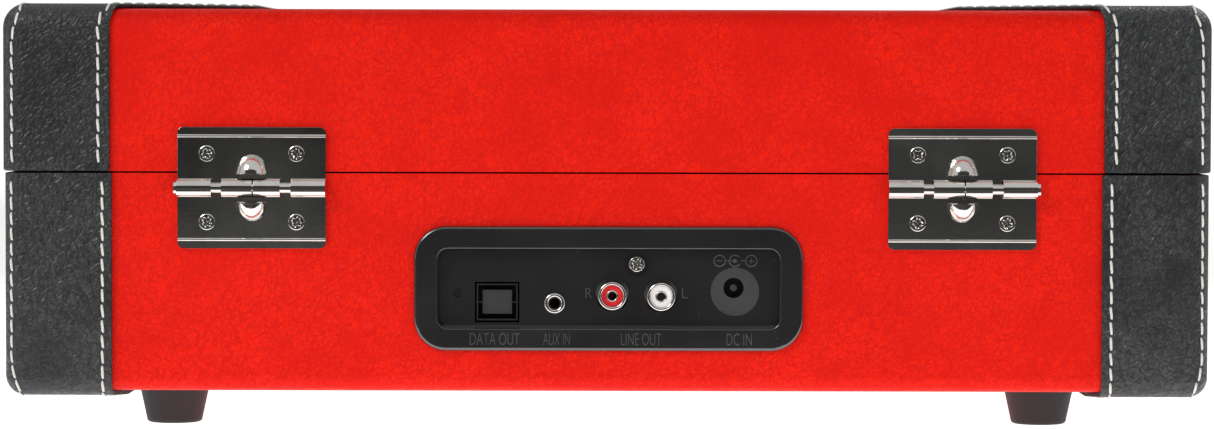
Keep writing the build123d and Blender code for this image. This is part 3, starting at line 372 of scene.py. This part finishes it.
THREAD = thread("white_thread", (0.86, 0.86, 0.80))
PRINT = moulded("white_print", (0.72, 0.72, 0.70), 0.5)
EMBOSS = moulded("embossed_letters", (0.055, 0.056, 0.058), 0.3)


def finish_nodes():
    """Gives every CAD node the finish of its material slot."""
    for part in frame["record"]["subparts"]:
        dress(nodes[part["node"]], part["material_slot"])


def dress(piece, slot):
    piece.data.materials.clear()
    piece.data.materials.append(FINISHES[slot])


# --- mesh helpers -----------------------------------------------------------------------------
def piece_from(mesh_builder, name, material, body, smooth=35.0):
    """Turns a bmesh into a piece that rides on a body."""
    mesh = bpy.data.meshes.new(name)
    mesh_builder.to_mesh(mesh)
    mesh_builder.free()
    mesh.materials.append(material)
    mesh.shade_smooth()
    mesh.set_sharp_from_angle(angle=math.radians(smooth))
    piece = bpy.data.objects.new(name, mesh)
    bpy.context.scene.collection.objects.link(piece)
    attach(piece, body)
    return piece


def soften(name, width):
    """Rounds a CAD node's sharp edges a little, as wear and moulding do."""
    piece = nodes[name]
    weld = piece.modifiers.new("weld", "WELD")
    weld.merge_threshold = 0.002 * MM
    flat = piece.modifiers.new("flat", "DECIMATE")
    flat.decimate_type = "DISSOLVE"
    flat.angle_limit = math.radians(0.4)
    bevel = piece.modifiers.new("bevel", "BEVEL")
    bevel.width = width
    bevel.segments = 2
    bevel.limit_method = "ANGLE"
    bevel.angle_limit = math.radians(30)
    bevel.miter_outer = "MITER_ARC"
    weights = piece.modifiers.new("weights", "WEIGHTED_NORMAL")
    weights.keep_sharp = True
    weights.weight = 80


def lathe(builder, profile, centre, axis="z", steps=96):
    """Adds the closed outline of (radius, height) points, turned about an axis through centre."""
    rings = []
    for step in range(steps):
        a = 2 * math.pi * step / steps
        ring = []
        for radius, height in profile:
            if axis == "z":
                p = Vector((radius * math.cos(a), radius * math.sin(a), height))
            else:
                p = Vector((radius * math.cos(a), height, -radius * math.sin(a)))
            ring.append(builder.verts.new(centre + p))
        rings.append(ring)
    count = len(profile)
    for step in range(steps):
        here, there = rings[step], rings[(step + 1) % steps]
        for i in range(count):
            j = (i + 1) % count
            builder.faces.new((here[i], there[i], there[j], here[j]))


# --- leather ends -----------------------------------------------------------------------------
def lean(point):
    """Pulls the lid's leather inwards where it goes over the top edge."""
    rise = (point.z - (LID_HIGH.z - LID_WRAP_R)) / LID_WRAP_R
    if rise <= 0 or abs(point.x) > LEAN_END_X:
        return point
    near = min(1.0, (LEAN_END_X - abs(point.x)) / LEAN_FADE)
    pull = LID_LEAN * min(rise, 1.0) ** 2 * near
    return Vector((point.x - math.copysign(pull, point.x), point.y, point.z))


def leather_ends(node, body):
    """The end wraps with turned edges, standing for the plain CAD ones."""
    builder = bmesh.new()
    builder.from_mesh(nodes[node].data)
    bmesh.ops.remove_doubles(builder, verts=builder.verts, dist=0.002 * MM)
    bmesh.ops.dissolve_limit(builder, angle_limit=math.radians(0.4), verts=builder.verts, edges=builder.edges)
    sharp = [e for e in builder.edges if e.is_manifold and e.calc_face_angle() > math.radians(35)]
    bmesh.ops.bevel(builder, geom=sharp, offset=0.7 * MM, segments=4, profile=0.5, affect="EDGES",
                    clamp_overlap=True)
    if body == "lid":
        for v in builder.verts:
            v.co = lean(v.co)
    piece = piece_from(builder, node.replace("wraps", "leather"), FINISHES["black_leather"], body,
                       smooth=50)
    weights = piece.modifiers.new("weights", "WEIGHTED_NORMAL")
    weights.weight = 80
    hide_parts(node)


# --- stitching --------------------------------------------------------------------------------
STITCH_PITCH = 4.5 * MM
STITCH_LENGTH = 4.1 * MM
STITCH_R = 0.40 * MM
STITCH_LEAN = math.radians(5)


def on_lid(point):
    """The nearest point of the lid's outer leather surface, and the way out from it."""
    half = Vector((LID_HIGH.x - LID_WRAP_R, CASE_HALF_D - LID_WRAP_R))
    core = Vector((
        max(-half.x, min(half.x, point.x)),
        CASE_Y + max(-half.y, min(half.y, point.y - CASE_Y)),
        min(point.z, LID_HIGH.z - LID_WRAP_R),
    ))
    out = (point - core).normalized()
    return lean(core + out * LID_WRAP_R), out


def on_base(point):
    """The same for the base, whose lower edges are rounded."""
    half = Vector((BASE_HIGH.x - BASE_WRAP_R, CASE_HALF_D - BASE_WRAP_R))
    core = Vector((
        max(-half.x, min(half.x, point.x)),
        CASE_Y + max(-half.y, min(half.y, point.y - CASE_Y)),
        max(point.z, BASE_LOW.z + BASE_WRAP_R),
    ))
    out = (point - core).normalized()
    return core + out * BASE_WRAP_R, out


def resample(points, spacing):
    """Evenly spaced points along a polyline."""
    result = [points[0]]
    left = spacing
    for a, b in zip(points, points[1:]):
        length = (b - a).length
        at = left
        while at <= length:
            result.append(a.lerp(b, at / length))
            at += spacing
        left = at - length
    return result


def add_stitch(builder, middle, along, out, length):
    """One stitch: a plump strand that dives into the leather at both ends."""
    across = out.cross(along).normalized()
    rings = []
    stations = (-1.0, -0.86, -0.55, 0.0, 0.55, 0.86, 1.0)
    for t in stations:
        swell = math.sqrt(max(0.0, 1 - 0.9 * abs(t) ** 5))
        height = STITCH_R * (0.35 - 1.1 * t ** 6)
        centre = middle + along * (t * length / 2) + out * height
        ring = []
        for k in range(8):
            a = 2 * math.pi * k / 8
            offset = across * (math.cos(a) * STITCH_R * swell) + out * (math.sin(a) * STITCH_R * 0.8 * swell)
            ring.append(builder.verts.new(centre + offset))
        rings.append(ring)
    for here, there in zip(rings, rings[1:]):
        for k in range(8):
            builder.faces.new((here[k], here[(k + 1) % 8], there[(k + 1) % 8], there[k]))
    builder.faces.new(rings[0][::-1])
    builder.faces.new(rings[-1])


def sew(name, route, surface, body):
    """A row of stitches along a route, laid on a surface."""
    dense = []
    for a, b in zip(route, route[1:]):
        steps = max(1, int((b - a).length / (0.5 * MM)))
        dense += [surface(a.lerp(b, i / steps))[0] for i in range(steps)]
    dense.append(surface(route[-1])[0])
    marks = resample(dense, STITCH_PITCH / 2)
    builder = bmesh.new()
    for i in range(1, len(marks) - 1, 2):
        middle, out = surface(marks[i])
        along = (marks[i + 1] - marks[i - 1]).normalized()
        tilt = Matrix.Rotation(STITCH_LEAN * random.uniform(0.5, 1.5), 3, out)
        reach = STITCH_LENGTH * random.uniform(0.95, 1.03)
        add_stitch(builder, middle, tilt @ along, out, reach)
    piece_from(builder, name, THREAD, body, smooth=60)


def there_and_back(rear_half, sx):
    """A whole row from its rear half: on over the front half, on the side sx of the case."""
    front_half = [Vector((p.x, 2 * CASE_Y - p.y, p.z)) for p in rear_half]
    whole = rear_half + front_half[::-1][1:]
    return [Vector((sx * p.x, p.y, p.z)) for p in whole]


def arc_points(centre, radius, start, end, z, steps=10):
    """Points of an arc seen from above, in degrees from +X."""
    points = []
    for i in range(steps + 1):
        a = math.radians(start + (end - start) * i / steps)
        points.append(Vector((centre[0] + radius * math.cos(a), centre[1] + radius * math.sin(a), z)))
    return points


def panel_route(face_x, inner_x, inset, bend_r, seam_z, far_z):
    """Rear half of the row that follows a wrap's inner edge, from the seam over the edge to the middle."""
    shift = inset * (math.sqrt(2) - 1)
    out_y = CASE_Y + CASE_HALF_D
    turn_y = out_y - WRAP_T - WRAP_TURN - shift
    end_x = inner_x + inset
    end_y = turn_y - (face_x - inner_x)
    tangent = bend_r * math.tan(math.radians(22.5))
    route = [
        Vector((face_x + inset, out_y, seam_z)),
        Vector((face_x + inset, out_y, far_z)),
        Vector((face_x + inset, turn_y, far_z)),
    ]
    route += arc_points((end_x + bend_r, end_y - tangent), bend_r, 135, 180, far_z)
    route.append(Vector((end_x, CASE_Y, far_z)))
    return route


def stitch_wraps():
    """All the rows on the leather ends of the lid and of the base."""
    above = LID_HIGH.z + 3 * MM
    below = BASE_LOW.z - 3 * MM
    lid_start = LID_LOW.z + 2.2 * MM
    base_start = BASE_HIGH.z - 2.2 * MM
    for sx, side in ((1, "right"), (-1, "left")):
        rear = panel_route(LID_WRAP_X, PATCH_X, 3.4 * MM, 8.0 * MM, lid_start, above)
        sew(f"stitches_lid_inner_{side}", there_and_back(rear, sx), on_lid, "lid")
        rear = panel_route(BASE_WRAP_X, FOLD_X, 2.7 * MM, 1.0 * MM, base_start, below)
        sew(f"stitches_base_inner_{side}", there_and_back(rear, sx), on_base, "base")
        for zone, surface, start, far, outer_x in (
            ("lid", on_lid, lid_start, above, LID_HIGH.x - 2.6 * MM),
            ("base", on_base, base_start, below, BASE_HIGH.x - 1.5 * MM),
        ):
            rise = 14 * MM if zone == "lid" else -14 * MM
            out_y = CASE_Y + CASE_HALF_D
            top_x = outer_x - 2.4 * MM
            half = [
                Vector((outer_x, out_y, start)),
                Vector((outer_x, out_y, far - rise)),
                Vector((top_x, out_y, far - rise * 0.35)),
                Vector((top_x, out_y - 4 * MM, far)),
                Vector((top_x, CASE_Y, far)),
            ]
            sew(f"stitches_{zone}_outer_{side}", there_and_back(half, sx), surface, zone)


# --- screws -----------------------------------------------------------------------------------
def screw_shape(builder, centre, out, up, head_r, head_t, turn, length):
    """A cross-recess screw: a polar grid for the head, with its cross sunk in, and a shank."""
    across = up.cross(out)
    steps = 64
    stations = [0.0]
    stations += [head_r * (i / 15) for i in range(1, 15)]
    stations += [head_r * 0.975, head_r]
    loops = []
    for radius in stations[1:]:
        edge = min(1.0, (head_r - radius) / (0.16 * head_r))
        crown = head_t * (0.62 + 0.38 * math.sqrt(max(0.0, 1 - (1 - edge) ** 2)))
        crown += 0.12 * MM * (1 - (radius / head_r) ** 2)
        loop = []
        for k in range(steps):
            a = 2 * math.pi * k / steps
            height = crown - recess(radius, a + turn, head_r)
            spot = centre + across * (radius * math.cos(a)) + up * (radius * math.sin(a)) + out * height
            loop.append(builder.verts.new(spot))
        loops.append(loop)
    middle = builder.verts.new(centre + out * (head_t - recess(0.0, 0.0, head_r)))
    for radius, depth in ((head_r, 0.0), (0.5 * head_r, -0.15 * head_r), (0.5 * head_r, -length)):
        loop = []
        for k in range(steps):
            a = 2 * math.pi * k / steps
            spot = centre + across * (radius * math.cos(a)) + up * (radius * math.sin(a)) + out * depth
            loop.append(builder.verts.new(spot))
        loops.append(loop)
    for k in range(steps):
        builder.faces.new((middle, loops[0][k], loops[0][(k + 1) % steps]))
    for here, there in zip(loops, loops[1:]):
        for k in range(steps):
            builder.faces.new((here[k], there[k], there[(k + 1) % steps], here[(k + 1) % steps]))
    builder.faces.new(loops[-1])


def recess(radius, angle, head_r):
    """Depth of the cross recess at a polar place on a head."""
    x, y = abs(radius * math.cos(angle)), abs(radius * math.sin(angle))
    narrow, long = min(x, y), max(x, y)
    wall = 0.16 * head_r
    across = max(0.0, min(1.0, (0.26 * head_r - narrow) / wall))
    reach = max(0.0, min(1.0, (0.68 * head_r - long) / (0.35 * head_r)))
    return 0.42 * head_r * across * reach


def screws():
    """The hinge, panel and foot screws, standing for the plain CAD ones."""
    rear = Vector((0, 1, 0))
    up = Vector((0, 0, 1))
    for zone, side in (("lid", 1), ("base", -1)):
        builder = bmesh.new()
        for cx in (-HINGE_X, HINGE_X):
            for dx in (-LEAF_SCREW_X, LEAF_SCREW_X):
                place = Vector((cx + dx, LEAF_FACE_Y, HINGE_Z + side * LEAF_SCREW_Z))
                turn = random.uniform(0, math.pi / 2)
                screw_shape(builder, place, rear, up, 2.4 * MM, 0.55 * MM, turn, 7 * MM)
        if zone == "base":
            place = Vector((PANEL_SCREW[0], RECESS_FLOOR_Y - 0.9 * MM, PANEL_SCREW[1]))
            screw_shape(builder, place, rear, up, 2.35 * MM, 1.2 * MM, 0.5, 6 * MM)
            for x, y in FEET:
                place = Vector((x, y, 6 * MM))
                turn = random.uniform(0, math.pi / 2)
                screw_shape(builder, place, -up, rear, 3.2 * MM, 1.6 * MM, turn, 10 * MM)
        bmesh.ops.recalc_face_normals(builder, faces=builder.faces)
        piece = piece_from(builder, zone + "_cross_screws", FINISHES["nickel"], zone, smooth=28)
        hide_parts(zone + "_screws")


# --- jack panel -------------------------------------------------------------------------------
def text_mesh(name, text, size, extrude, offset=0.0):
    """The mesh of some centred letters, lying flat."""
    curve = bpy.data.curves.new(name, "FONT")
    curve.body = text
    curve.size = size
    curve.align_x = "CENTER"
    curve.align_y = "CENTER"
    curve.extrude = extrude
    curve.offset = offset
    source = bpy.data.objects.new(name + "_curve", curve)
    bpy.context.scene.collection.objects.link(source)
    bpy.context.view_layer.update()
    mesh = bpy.data.meshes.new_from_object(source)
    bpy.data.objects.remove(source)
    return mesh


def label(name, text, x, z, width, height, y):
    """Raised letters on a face that looks to the rear, fitted to a width and a height."""
    mesh = text_mesh(name, text, 1.0, 0.02, -0.012)
    low = Vector((min(v.co.x for v in mesh.vertices), min(v.co.y for v in mesh.vertices), 0))
    high = Vector((max(v.co.x for v in mesh.vertices), max(v.co.y for v in mesh.vertices), 0))
    builder = bmesh.new()
    builder.from_mesh(mesh)
    for v in builder.verts:
        across = (v.co.x - (low.x + high.x) / 2) / (high.x - low.x) * width
        up = (v.co.y - (low.y + high.y) / 2) / (high.y - low.y) * height
        v.co = Vector((x - across, y + v.co.z * 0.004, z + up))
    piece_from(builder, name, EMBOSS, "base")


def ring(builder, x, y, z, radius, wire, start=0.0, end=360.0, steps=40):
    """A ring of round wire that faces the rear, whole or in part."""
    rings = []
    whole = end - start >= 360
    for i in range(steps if whole else steps + 1):
        a = math.radians(start + (end - start) * i / steps)
        out = Vector((-math.cos(a), 0, math.sin(a)))
        loop = []
        for k in range(8):
            b = 2 * math.pi * k / 8
            offset = out * (radius + wire * math.cos(b)) + Vector((0, wire * math.sin(b), 0))
            loop.append(builder.verts.new(Vector((x, y, z)) + offset))
        rings.append(loop)
    pairs = list(zip(rings, rings[1:]))
    if whole:
        pairs.append((rings[-1], rings[0]))
    for here, there in pairs:
        for k in range(8):
            builder.faces.new((here[k], here[(k + 1) % 8], there[(k + 1) % 8], there[k]))
    if not whole:
        builder.faces.new(rings[0][::-1])
        builder.faces.new(rings[-1])


def bar(builder, a, b, wire):
    """A thin raised bar between two points of a rear face."""
    along = (b - a).normalized()
    side = along.cross(Vector((0, 1, 0)))
    loops = []
    for end in (a, b):
        loop = []
        for k in range(6):
            t = 2 * math.pi * k / 6
            offset = side * wire * math.cos(t) + Vector((0, wire * math.sin(t), 0))
            loop.append(builder.verts.new(end + offset))
        loops.append(loop)
    for k in range(6):
        builder.faces.new((loops[0][k], loops[0][(k + 1) % 6], loops[1][(k + 1) % 6], loops[1][k]))
    builder.faces.new(loops[0][::-1])
    builder.faces.new(loops[1])


def panel_details():
    """Labels and the supply's polarity sign."""
    face = PANEL_HIGH.y - 0.02 * MM
    low_z = PANEL_LOW.z + 3.6 * MM
    for name, text, x, width in (
        ("label_data", "DATA OUT", 32.8, 14.6),
        ("label_aux", "AUX IN", 14.7, 7.8),
        ("label_line", "LINE OUT", -10.1, 11.8),
        ("label_supply", "DC IN", -38.8, 7.4),
    ):
        label(name, text, x * MM, low_z, width * MM, 3.5 * MM, face)
    for name, text, x in (("label_r", "R", 5.3), ("label_l", "L", -23.0)):
        label(name, text, x * MM, 40.5 * MM, 1.9 * MM, 2.9 * MM, RECESS_FLOOR_Y)
    polarity_sign()


def polarity_sign():
    """Minus ring, open ring with its dot, and plus ring, joined by bars."""
    builder = bmesh.new()
    radius, wire = 1.65 * MM, 0.16 * MM
    minus_x, tip_x, plus_x = POLARITY_X
    ring(builder, minus_x, RECESS_FLOOR_Y, POLARITY_Z, radius, wire)
    ring(builder, tip_x, RECESS_FLOOR_Y, POLARITY_Z, radius, wire, 40, 320)
    ring(builder, plus_x, RECESS_FLOOR_Y, POLARITY_Z, radius, wire)
    for x0, x1 in ((-34.8, -37.6), (-39.3, -40.7), (-32.3, -33.9), (-41.6, -43.2)):
        ends = [Vector((x * MM, RECESS_FLOOR_Y, POLARITY_Z)) for x in (x0, x1)]
        bar(builder, *ends, wire)
    ends = [Vector((plus_x, RECESS_FLOOR_Y, POLARITY_Z + dz)) for dz in (-0.8 * MM, 0.8 * MM)]
    bar(builder, *ends, wire)
    ring(builder, tip_x, RECESS_FLOOR_Y, POLARITY_Z, 0.35 * MM, 0.25 * MM, steps=16)
    piece_from(builder, "polarity_sign", EMBOSS, "base")


def rolled_rim(builder, x, z, y, inner, outer):
    """A rounded metal rim on the end of a socket's barrel, facing the rear."""
    middle, half = (inner + outer) / 2, (outer - inner) / 2
    profile = [(outer, y - 0.3 * MM)]
    for degrees in range(0, 181, 15):
        a = math.radians(degrees)
        profile.append((middle + half * math.cos(a), y + half * 0.8 * math.sin(a)))
    profile.append((inner, y - 0.3 * MM))
    lathe(builder, profile, Vector((x, 0, z)), axis="y", steps=64)


def turned_piece(builder, name, slot, smooth=35.0):
    """Closes a set of lathed shapes into one piece of the base."""
    bmesh.ops.recalc_face_normals(builder, faces=builder.faces)
    piece_from(builder, name, FINISHES[slot], "base", smooth=smooth)


def aux_sleeve():
    """Dark sleeve in the 3.5 mm socket."""
    front = RECESS_FLOOR_Y + 0.7 * MM
    back = front - 10 * MM
    closed = back - 0.4 * MM
    profile = [(1.78 * MM, front), (1.5 * MM, front), (1.45 * MM, back), (0.02 * MM, back),
               (0.02 * MM, closed), (1.78 * MM, closed)]
    builder = bmesh.new()
    lathe(builder, profile, Vector((AUX[0], 0, AUX[1])), axis="y", steps=40)
    turned_piece(builder, "aux_sleeve", "black_matte")


def phono_contacts():
    """The sprung inner contacts, with rolled lips."""
    mouth = PANEL_HIGH.y + 0.5 * MM
    back = mouth - 8 * MM
    profile = [(1.7 * MM, back)]
    for degrees in range(-20, 201, 20):
        a = math.radians(degrees)
        profile.append(((1.5 + 0.24 * math.cos(a)) * MM, mouth + (0.1 + 0.24 * math.sin(a)) * MM))
    profile.append((1.3 * MM, back))
    builder = bmesh.new()
    for x, z in PHONO:
        lathe(builder, profile, Vector((x, 0, z)), axis="y", steps=40)
    turned_piece(builder, "phono_contacts", "nickel")


def socket_rims():
    """Rolled rims of the phono barrels and of the 3.5 mm socket."""
    builder = bmesh.new()
    for x, z in PHONO:
        rolled_rim(builder, x, z, PANEL_HIGH.y + 1.4 * MM, 3.2 * MM, 4.14 * MM)
    rolled_rim(builder, AUX[0], AUX[1], RECESS_FLOOR_Y + 1.0 * MM, 1.84 * MM, 3.05 * MM)
    turned_piece(builder, "socket_rims", "nickel", smooth=60)


def data_seams():
    """The seams at both sides of the data socket's tongue."""
    builder = bmesh.new()
    y = RECESS_FLOOR_Y - 0.75 * MM
    for side in (-1, 1):
        ends = [Vector((DATA[0] + side * reach, y, DATA[1])) for reach in (4.4 * MM, 6.3 * MM)]
        bar(builder, *ends, 0.14 * MM)
    piece_from(builder, "data_seams", FINISHES["grey_plastic"], "base")


# --- deck -------------------------------------------------------------------------------------
def mat_ribs():
    """The ribbed rubber slip mat, turned as one profile."""
    centre = Vector(((MAT_LOW.x + MAT_HIGH.x) / 2, (MAT_LOW.y + MAT_HIGH.y) / 2, 0))
    outer = (MAT_HIGH.x - MAT_LOW.x) / 2
    top = MAT_HIGH.z
    profile = [(4.9 * MM, MAT_LOW.z), (4.9 * MM, top - 0.4 * MM), (5.4 * MM, top)]
    radius = 12 * MM
    profile.append((radius, top))
    while radius < outer - 4 * MM:
        skip = 50 * MM < radius < 53 * MM
        dip = 0.1 * MM if skip else 0.75 * MM
        profile += [(radius + 0.5 * MM, top - dip), (radius + 1.1 * MM, top - dip), (radius + 1.6 * MM, top)]
        radius += 2.9 * MM
        profile.append((radius, top))
    profile += [(outer - 0.6 * MM, top), (outer, top - 0.6 * MM), (outer, MAT_LOW.z)]
    builder = bmesh.new()
    lathe(builder, profile, centre, steps=160)
    bmesh.ops.recalc_face_normals(builder, faces=builder.faces)
    piece = piece_from(builder, "slip_mat", FINISHES["felt"], "platter", smooth=30)
    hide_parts("platter_mat")


def strobe_dots():
    """Two rows of dots round the platter's rim."""
    centre = Vector(((PLATTER_LOW.x + PLATTER_HIGH.x) / 2, (PLATTER_LOW.y + PLATTER_HIGH.y) / 2, 0))
    rim = (PLATTER_HIGH.x - PLATTER_LOW.x) / 2
    dot_r = 0.62 * MM
    builder = bmesh.new()
    for row, count in ((78.6, 180), (75.9, 144)):
        for i in range(count):
            a = 2 * math.pi * i / count
            out = Vector((math.cos(a), math.sin(a), 0))
            side = Vector((-out.y, out.x, 0))
            middle = centre + out * (rim - 0.05 * MM) + Vector((0, 0, row * MM))
            corners = []
            for k in range(8):
                t = 2 * math.pi * k / 8
                corners.append(middle + side * (dot_r * math.cos(t)) + Vector((0, 0, dot_r * math.sin(t))))
            raised = [builder.verts.new(c + out * 0.12 * MM) for c in corners]
            sunk = [builder.verts.new(c - out * 0.1 * MM) for c in corners]
            builder.faces.new(raised)
            builder.faces.new(sunk[::-1])
            for k in range(8):
                builder.faces.new((raised[k], sunk[k], sunk[(k + 1) % 8], raised[(k + 1) % 8]))
    bmesh.ops.recalc_face_normals(builder, faces=builder.faces)
    piece_from(builder, "strobe_dots", PRINT, "platter")


def flat_text(name, text, x, y, z, height):
    """Printed figures on the deck."""
    mesh = text_mesh(name, text, height, 0.03 * MM)
    mesh.transform(Matrix.Translation((x, y, z)))
    builder = bmesh.new()
    builder.from_mesh(mesh)
    piece_from(builder, name, PRINT, "base")


def dial_marks():
    """Ticks and figures round the volume and mode knobs, and figures beside the speed switch."""
    z = DECK_TOP + 0.01 * MM
    builder = bmesh.new()
    for node, first, last, count, figure_step in (
        ("volume_knob", -150, 150, 11, 2),
        ("mode_knob", -30, 30, 3, 1),
    ):
        low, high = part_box(node)
        cx, cy = (low.x + high.x) / 2, (low.y + high.y) / 2
        for i in range(count):
            degrees = first + (last - first) * i / (count - 1)
            a = math.radians(90 - degrees)
            out = Vector((math.cos(a), math.sin(a), 0))
            side = Vector((-out.y, out.x, 0)) * 0.22 * MM
            near = Vector((cx, cy, z)) + out * 11.0 * MM
            far = Vector((cx, cy, z)) + out * 13.0 * MM
            base = [near - side, far - side, far + side, near + side]
            lower = [builder.verts.new(p) for p in base]
            upper = [builder.verts.new(p + Vector((0, 0, 0.04 * MM))) for p in base]
            builder.faces.new(upper)
            builder.faces.new(lower[::-1])
            for k in range(4):
                builder.faces.new((lower[k], lower[(k + 1) % 4], upper[(k + 1) % 4], upper[k]))
            if i % figure_step == 0:
                spot = Vector((cx, cy, z)) + out * 15.6 * MM
                flat_text(f"figure_{node}_{i}", str(i), spot.x, spot.y, z, 2.8 * MM)
    bmesh.ops.recalc_face_normals(builder, faces=builder.faces)
    piece_from(builder, "dial_ticks", PRINT, "base")
    low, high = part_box("speed_switch")
    for i, speed in enumerate(("33", "45", "78")):
        flat_text(f"speed_{speed}", speed, low.x - 4.2 * MM, (low.y + high.y) / 2 + i * 7 * MM, z, 3.4 * MM)


def knurl(node, flutes=40):
    """A fluted skirt round a knob."""
    low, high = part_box(node)
    centre = Vector(((low.x + high.x) / 2, (low.y + high.y) / 2, 0))
    bottom = DECK_TOP + 0.75 * MM
    top = high.z - 1.6 * MM
    foot_r = (high.x - low.x) / 2
    inner_r = foot_r - 2 * MM
    builder = bmesh.new()
    steps = flutes * 6
    turns = [2 * math.pi * i / steps for i in range(steps)]
    loops = []
    for z, proud in ((bottom, 0.10), (bottom + 0.4 * MM, 0.42), (top - 0.5 * MM, 0.42), (top, 0.05)):
        taper = foot_r - 0.8 * MM * (z - bottom) / (top - bottom)
        loop = []
        for a in turns:
            wave = 0.5 + 0.5 * math.cos(a * flutes)
            radius = taper + (proud * wave - 0.12) * MM
            spot = Vector((radius * math.cos(a), radius * math.sin(a), z))
            loop.append(builder.verts.new(centre + spot))
        loops.append(loop)
    for z in (top, bottom):
        spots = [Vector((inner_r * math.cos(a), inner_r * math.sin(a), z)) for a in turns]
        loops.append([builder.verts.new(centre + spot) for spot in spots])
    for here, there in zip(loops, loops[1:] + loops[:1]):
        for i in range(steps):
            j = (i + 1) % steps
            builder.faces.new((here[i], here[j], there[j], there[i]))
    bmesh.ops.recalc_face_normals(builder, faces=builder.faces)
    piece_from(builder, node + "_flutes", FINISHES["black_gloss"], node, smooth=50)


# --- handle -----------------------------------------------------------------------------------
def handle_seam():
    """A row of stitches along each edge of the grip's front."""
    low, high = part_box("handle")
    grip_high = low.z + 13 * MM
    for name, z in (("low", low.z + 3.6 * MM), ("high", grip_high - 3.6 * MM)):
        route = [Vector((-30 * MM, low.y, z)), Vector((30 * MM, low.y, z))]
        sew(f"stitches_handle_{name}", route, lambda p: (p, Vector((0, -1, 0))), "handle")


# --- studio -----------------------------------------------------------------------------------
def slab(name, corners, material):
    mesh = bpy.data.meshes.new(name)
    mesh.from_pydata([Vector(c) for c in corners], [], [(0, 1, 2, 3)])
    mesh.materials.append(material)
    obj = bpy.data.objects.new(name, mesh)
    bpy.context.scene.collection.objects.link(obj)
    return obj


def dark_card(name, corners, material):
    """A black card for the plated parts and gloss plastic to reflect; only reflections see it."""
    card = slab(name, corners, material)
    card.visible_camera = False
    card.visible_diffuse = False
    card.visible_shadow = False
    card.visible_transmission = False


def soft_light(name, place, target, size, power, colour, mirrored_in_gloss=True):
    data = bpy.data.lights.new(name, "AREA")
    data.shape = "RECTANGLE"
    data.size, data.size_y = size
    data.energy = power
    data.color = colour
    lamp = bpy.data.objects.new(name, data)
    lamp.location = place
    lamp.rotation_euler = (Vector(target) - Vector(place)).to_track_quat("-Z", "Y").to_euler()
    lamp.visible_glossy = mirrored_in_gloss
    bpy.context.scene.collection.objects.link(lamp)


def rectangle(half_width, y0, z0, y1, z1):
    """Corners of a rectangle as wide as the studio needs, between two heights and depths."""
    return ((-half_width, y0, z0), (half_width, y0, z0), (half_width, y1, z1), (-half_width, y1, z1))


FLOOR_HALF = 30
CARD_HALF_WIDTH = 2.2
CARD_Y = 1.9                 # dark cards, before and behind the object
CARD_TOP = 1.0
MAT_Y = 0.21                 # where the dark mats begin
MAT_Z = 0.4 * MM


def studio():
    """Floor, dark cards, lamps and world."""
    slab("floor", rectangle(FLOOR_HALF, -FLOOR_HALF, 0, FLOOR_HALF, 0), studio_floor("studio_floor"))
    black = card_paint("black_card")
    for word, side in (("rear", 1), ("front", -1)):
        far, near = side * CARD_Y, side * MAT_Y
        dark_card("card_" + word, rectangle(CARD_HALF_WIDTH, far, 0, far, CARD_TOP), black)
        dark_card("mat_" + word, rectangle(CARD_HALF_WIDTH, near, MAT_Z, far, MAT_Z), black)
    middle = (0, CASE_Y, 0.06)
    soft_light("key", (1.5, 1.5, 1.6), middle, (1.0, 1.0), 25, (1.0, 0.99, 0.965))
    soft_light("fill", (-1.8, 1.6, 1.2), middle, (1.4, 1.4), 9, (0.97, 0.985, 1.0), False)
    soft_light("front_key", (-1.5, -1.9, 1.8), middle, (1.2, 1.2), 26, (1.0, 0.99, 0.97))
    studio_world()


def studio_world():
    """A white surround, with a brightness of its own for diffuse, glossy and camera rays."""
    world = bpy.data.worlds.new("studio_world")
    bpy.context.scene.world = world
    world.use_nodes = True
    tree = world.node_tree
    background = tree.nodes["Background"]
    background.inputs["Color"].default_value = (1.0, 1.0, 1.0, 1.0)
    ray = tree.nodes.new("ShaderNodeLightPath")
    level = 0.34
    for seen_by, strength in (("Is Glossy Ray", 0.6), ("Is Camera Ray", 1.05)):
        choice = tree.nodes.new("ShaderNodeMapRange")
        tree.links.new(ray.outputs[seen_by], choice.inputs["Value"])
        choice.inputs["To Max"].default_value = strength
        if isinstance(level, bpy.types.NodeSocket):
            tree.links.new(level, choice.inputs["To Min"])
        else:
            choice.inputs["To Min"].default_value = level
        level = choice.outputs["Result"]
    tree.links.new(level, background.inputs["Strength"])


CAMERA_DISTANCE = 1.2        # from the rear face
CAMERA_HEIGHT = 0.105
CAMERA_LENS = 121.7
CAMERA_PITCH = math.radians(1.97)
CAMERA_ROLL = math.radians(0.13)


def camera():
    data = bpy.data.cameras.new("camera")
    data.lens = CAMERA_LENS
    data.sensor_width = 36
    data.clip_start = 0.05
    data.clip_end = 100
    cam = bpy.data.objects.new("camera", data)
    look = Euler((math.pi / 2 - CAMERA_PITCH, 0, math.pi)).to_matrix()
    roll = Matrix.Rotation(CAMERA_ROLL, 3, "Z")
    place = Matrix.Translation((0, REAR_Y + CAMERA_DISTANCE, CAMERA_HEIGHT))
    cam.matrix_world = place @ (look @ roll).to_4x4()
    bpy.context.scene.collection.objects.link(cam)
    bpy.context.scene.camera = cam


# --- everything -------------------------------------------------------------------------------
finish_nodes()
for wrapped, carrier in (("lid_wraps", "lid"), ("base_wraps", "base")):
    leather_ends(wrapped, carrier)
for sharp_edged in ("deck", "hinge_leaves_lid", "hinge_leaves_base", "latch_plates",
                    "latch_strikes", "handle_brackets"):
    soften(sharp_edged, 0.2 * MM)
stitch_wraps()
screws()
panel_details()
aux_sleeve()
phono_contacts()
socket_rims()
data_seams()
mat_ribs()
strobe_dots()
dial_marks()
knurl("volume_knob")
knurl("mode_knob")
handle_seam()
studio()
camera()
bpy.context.scene.view_settings.view_transform = "Standard"
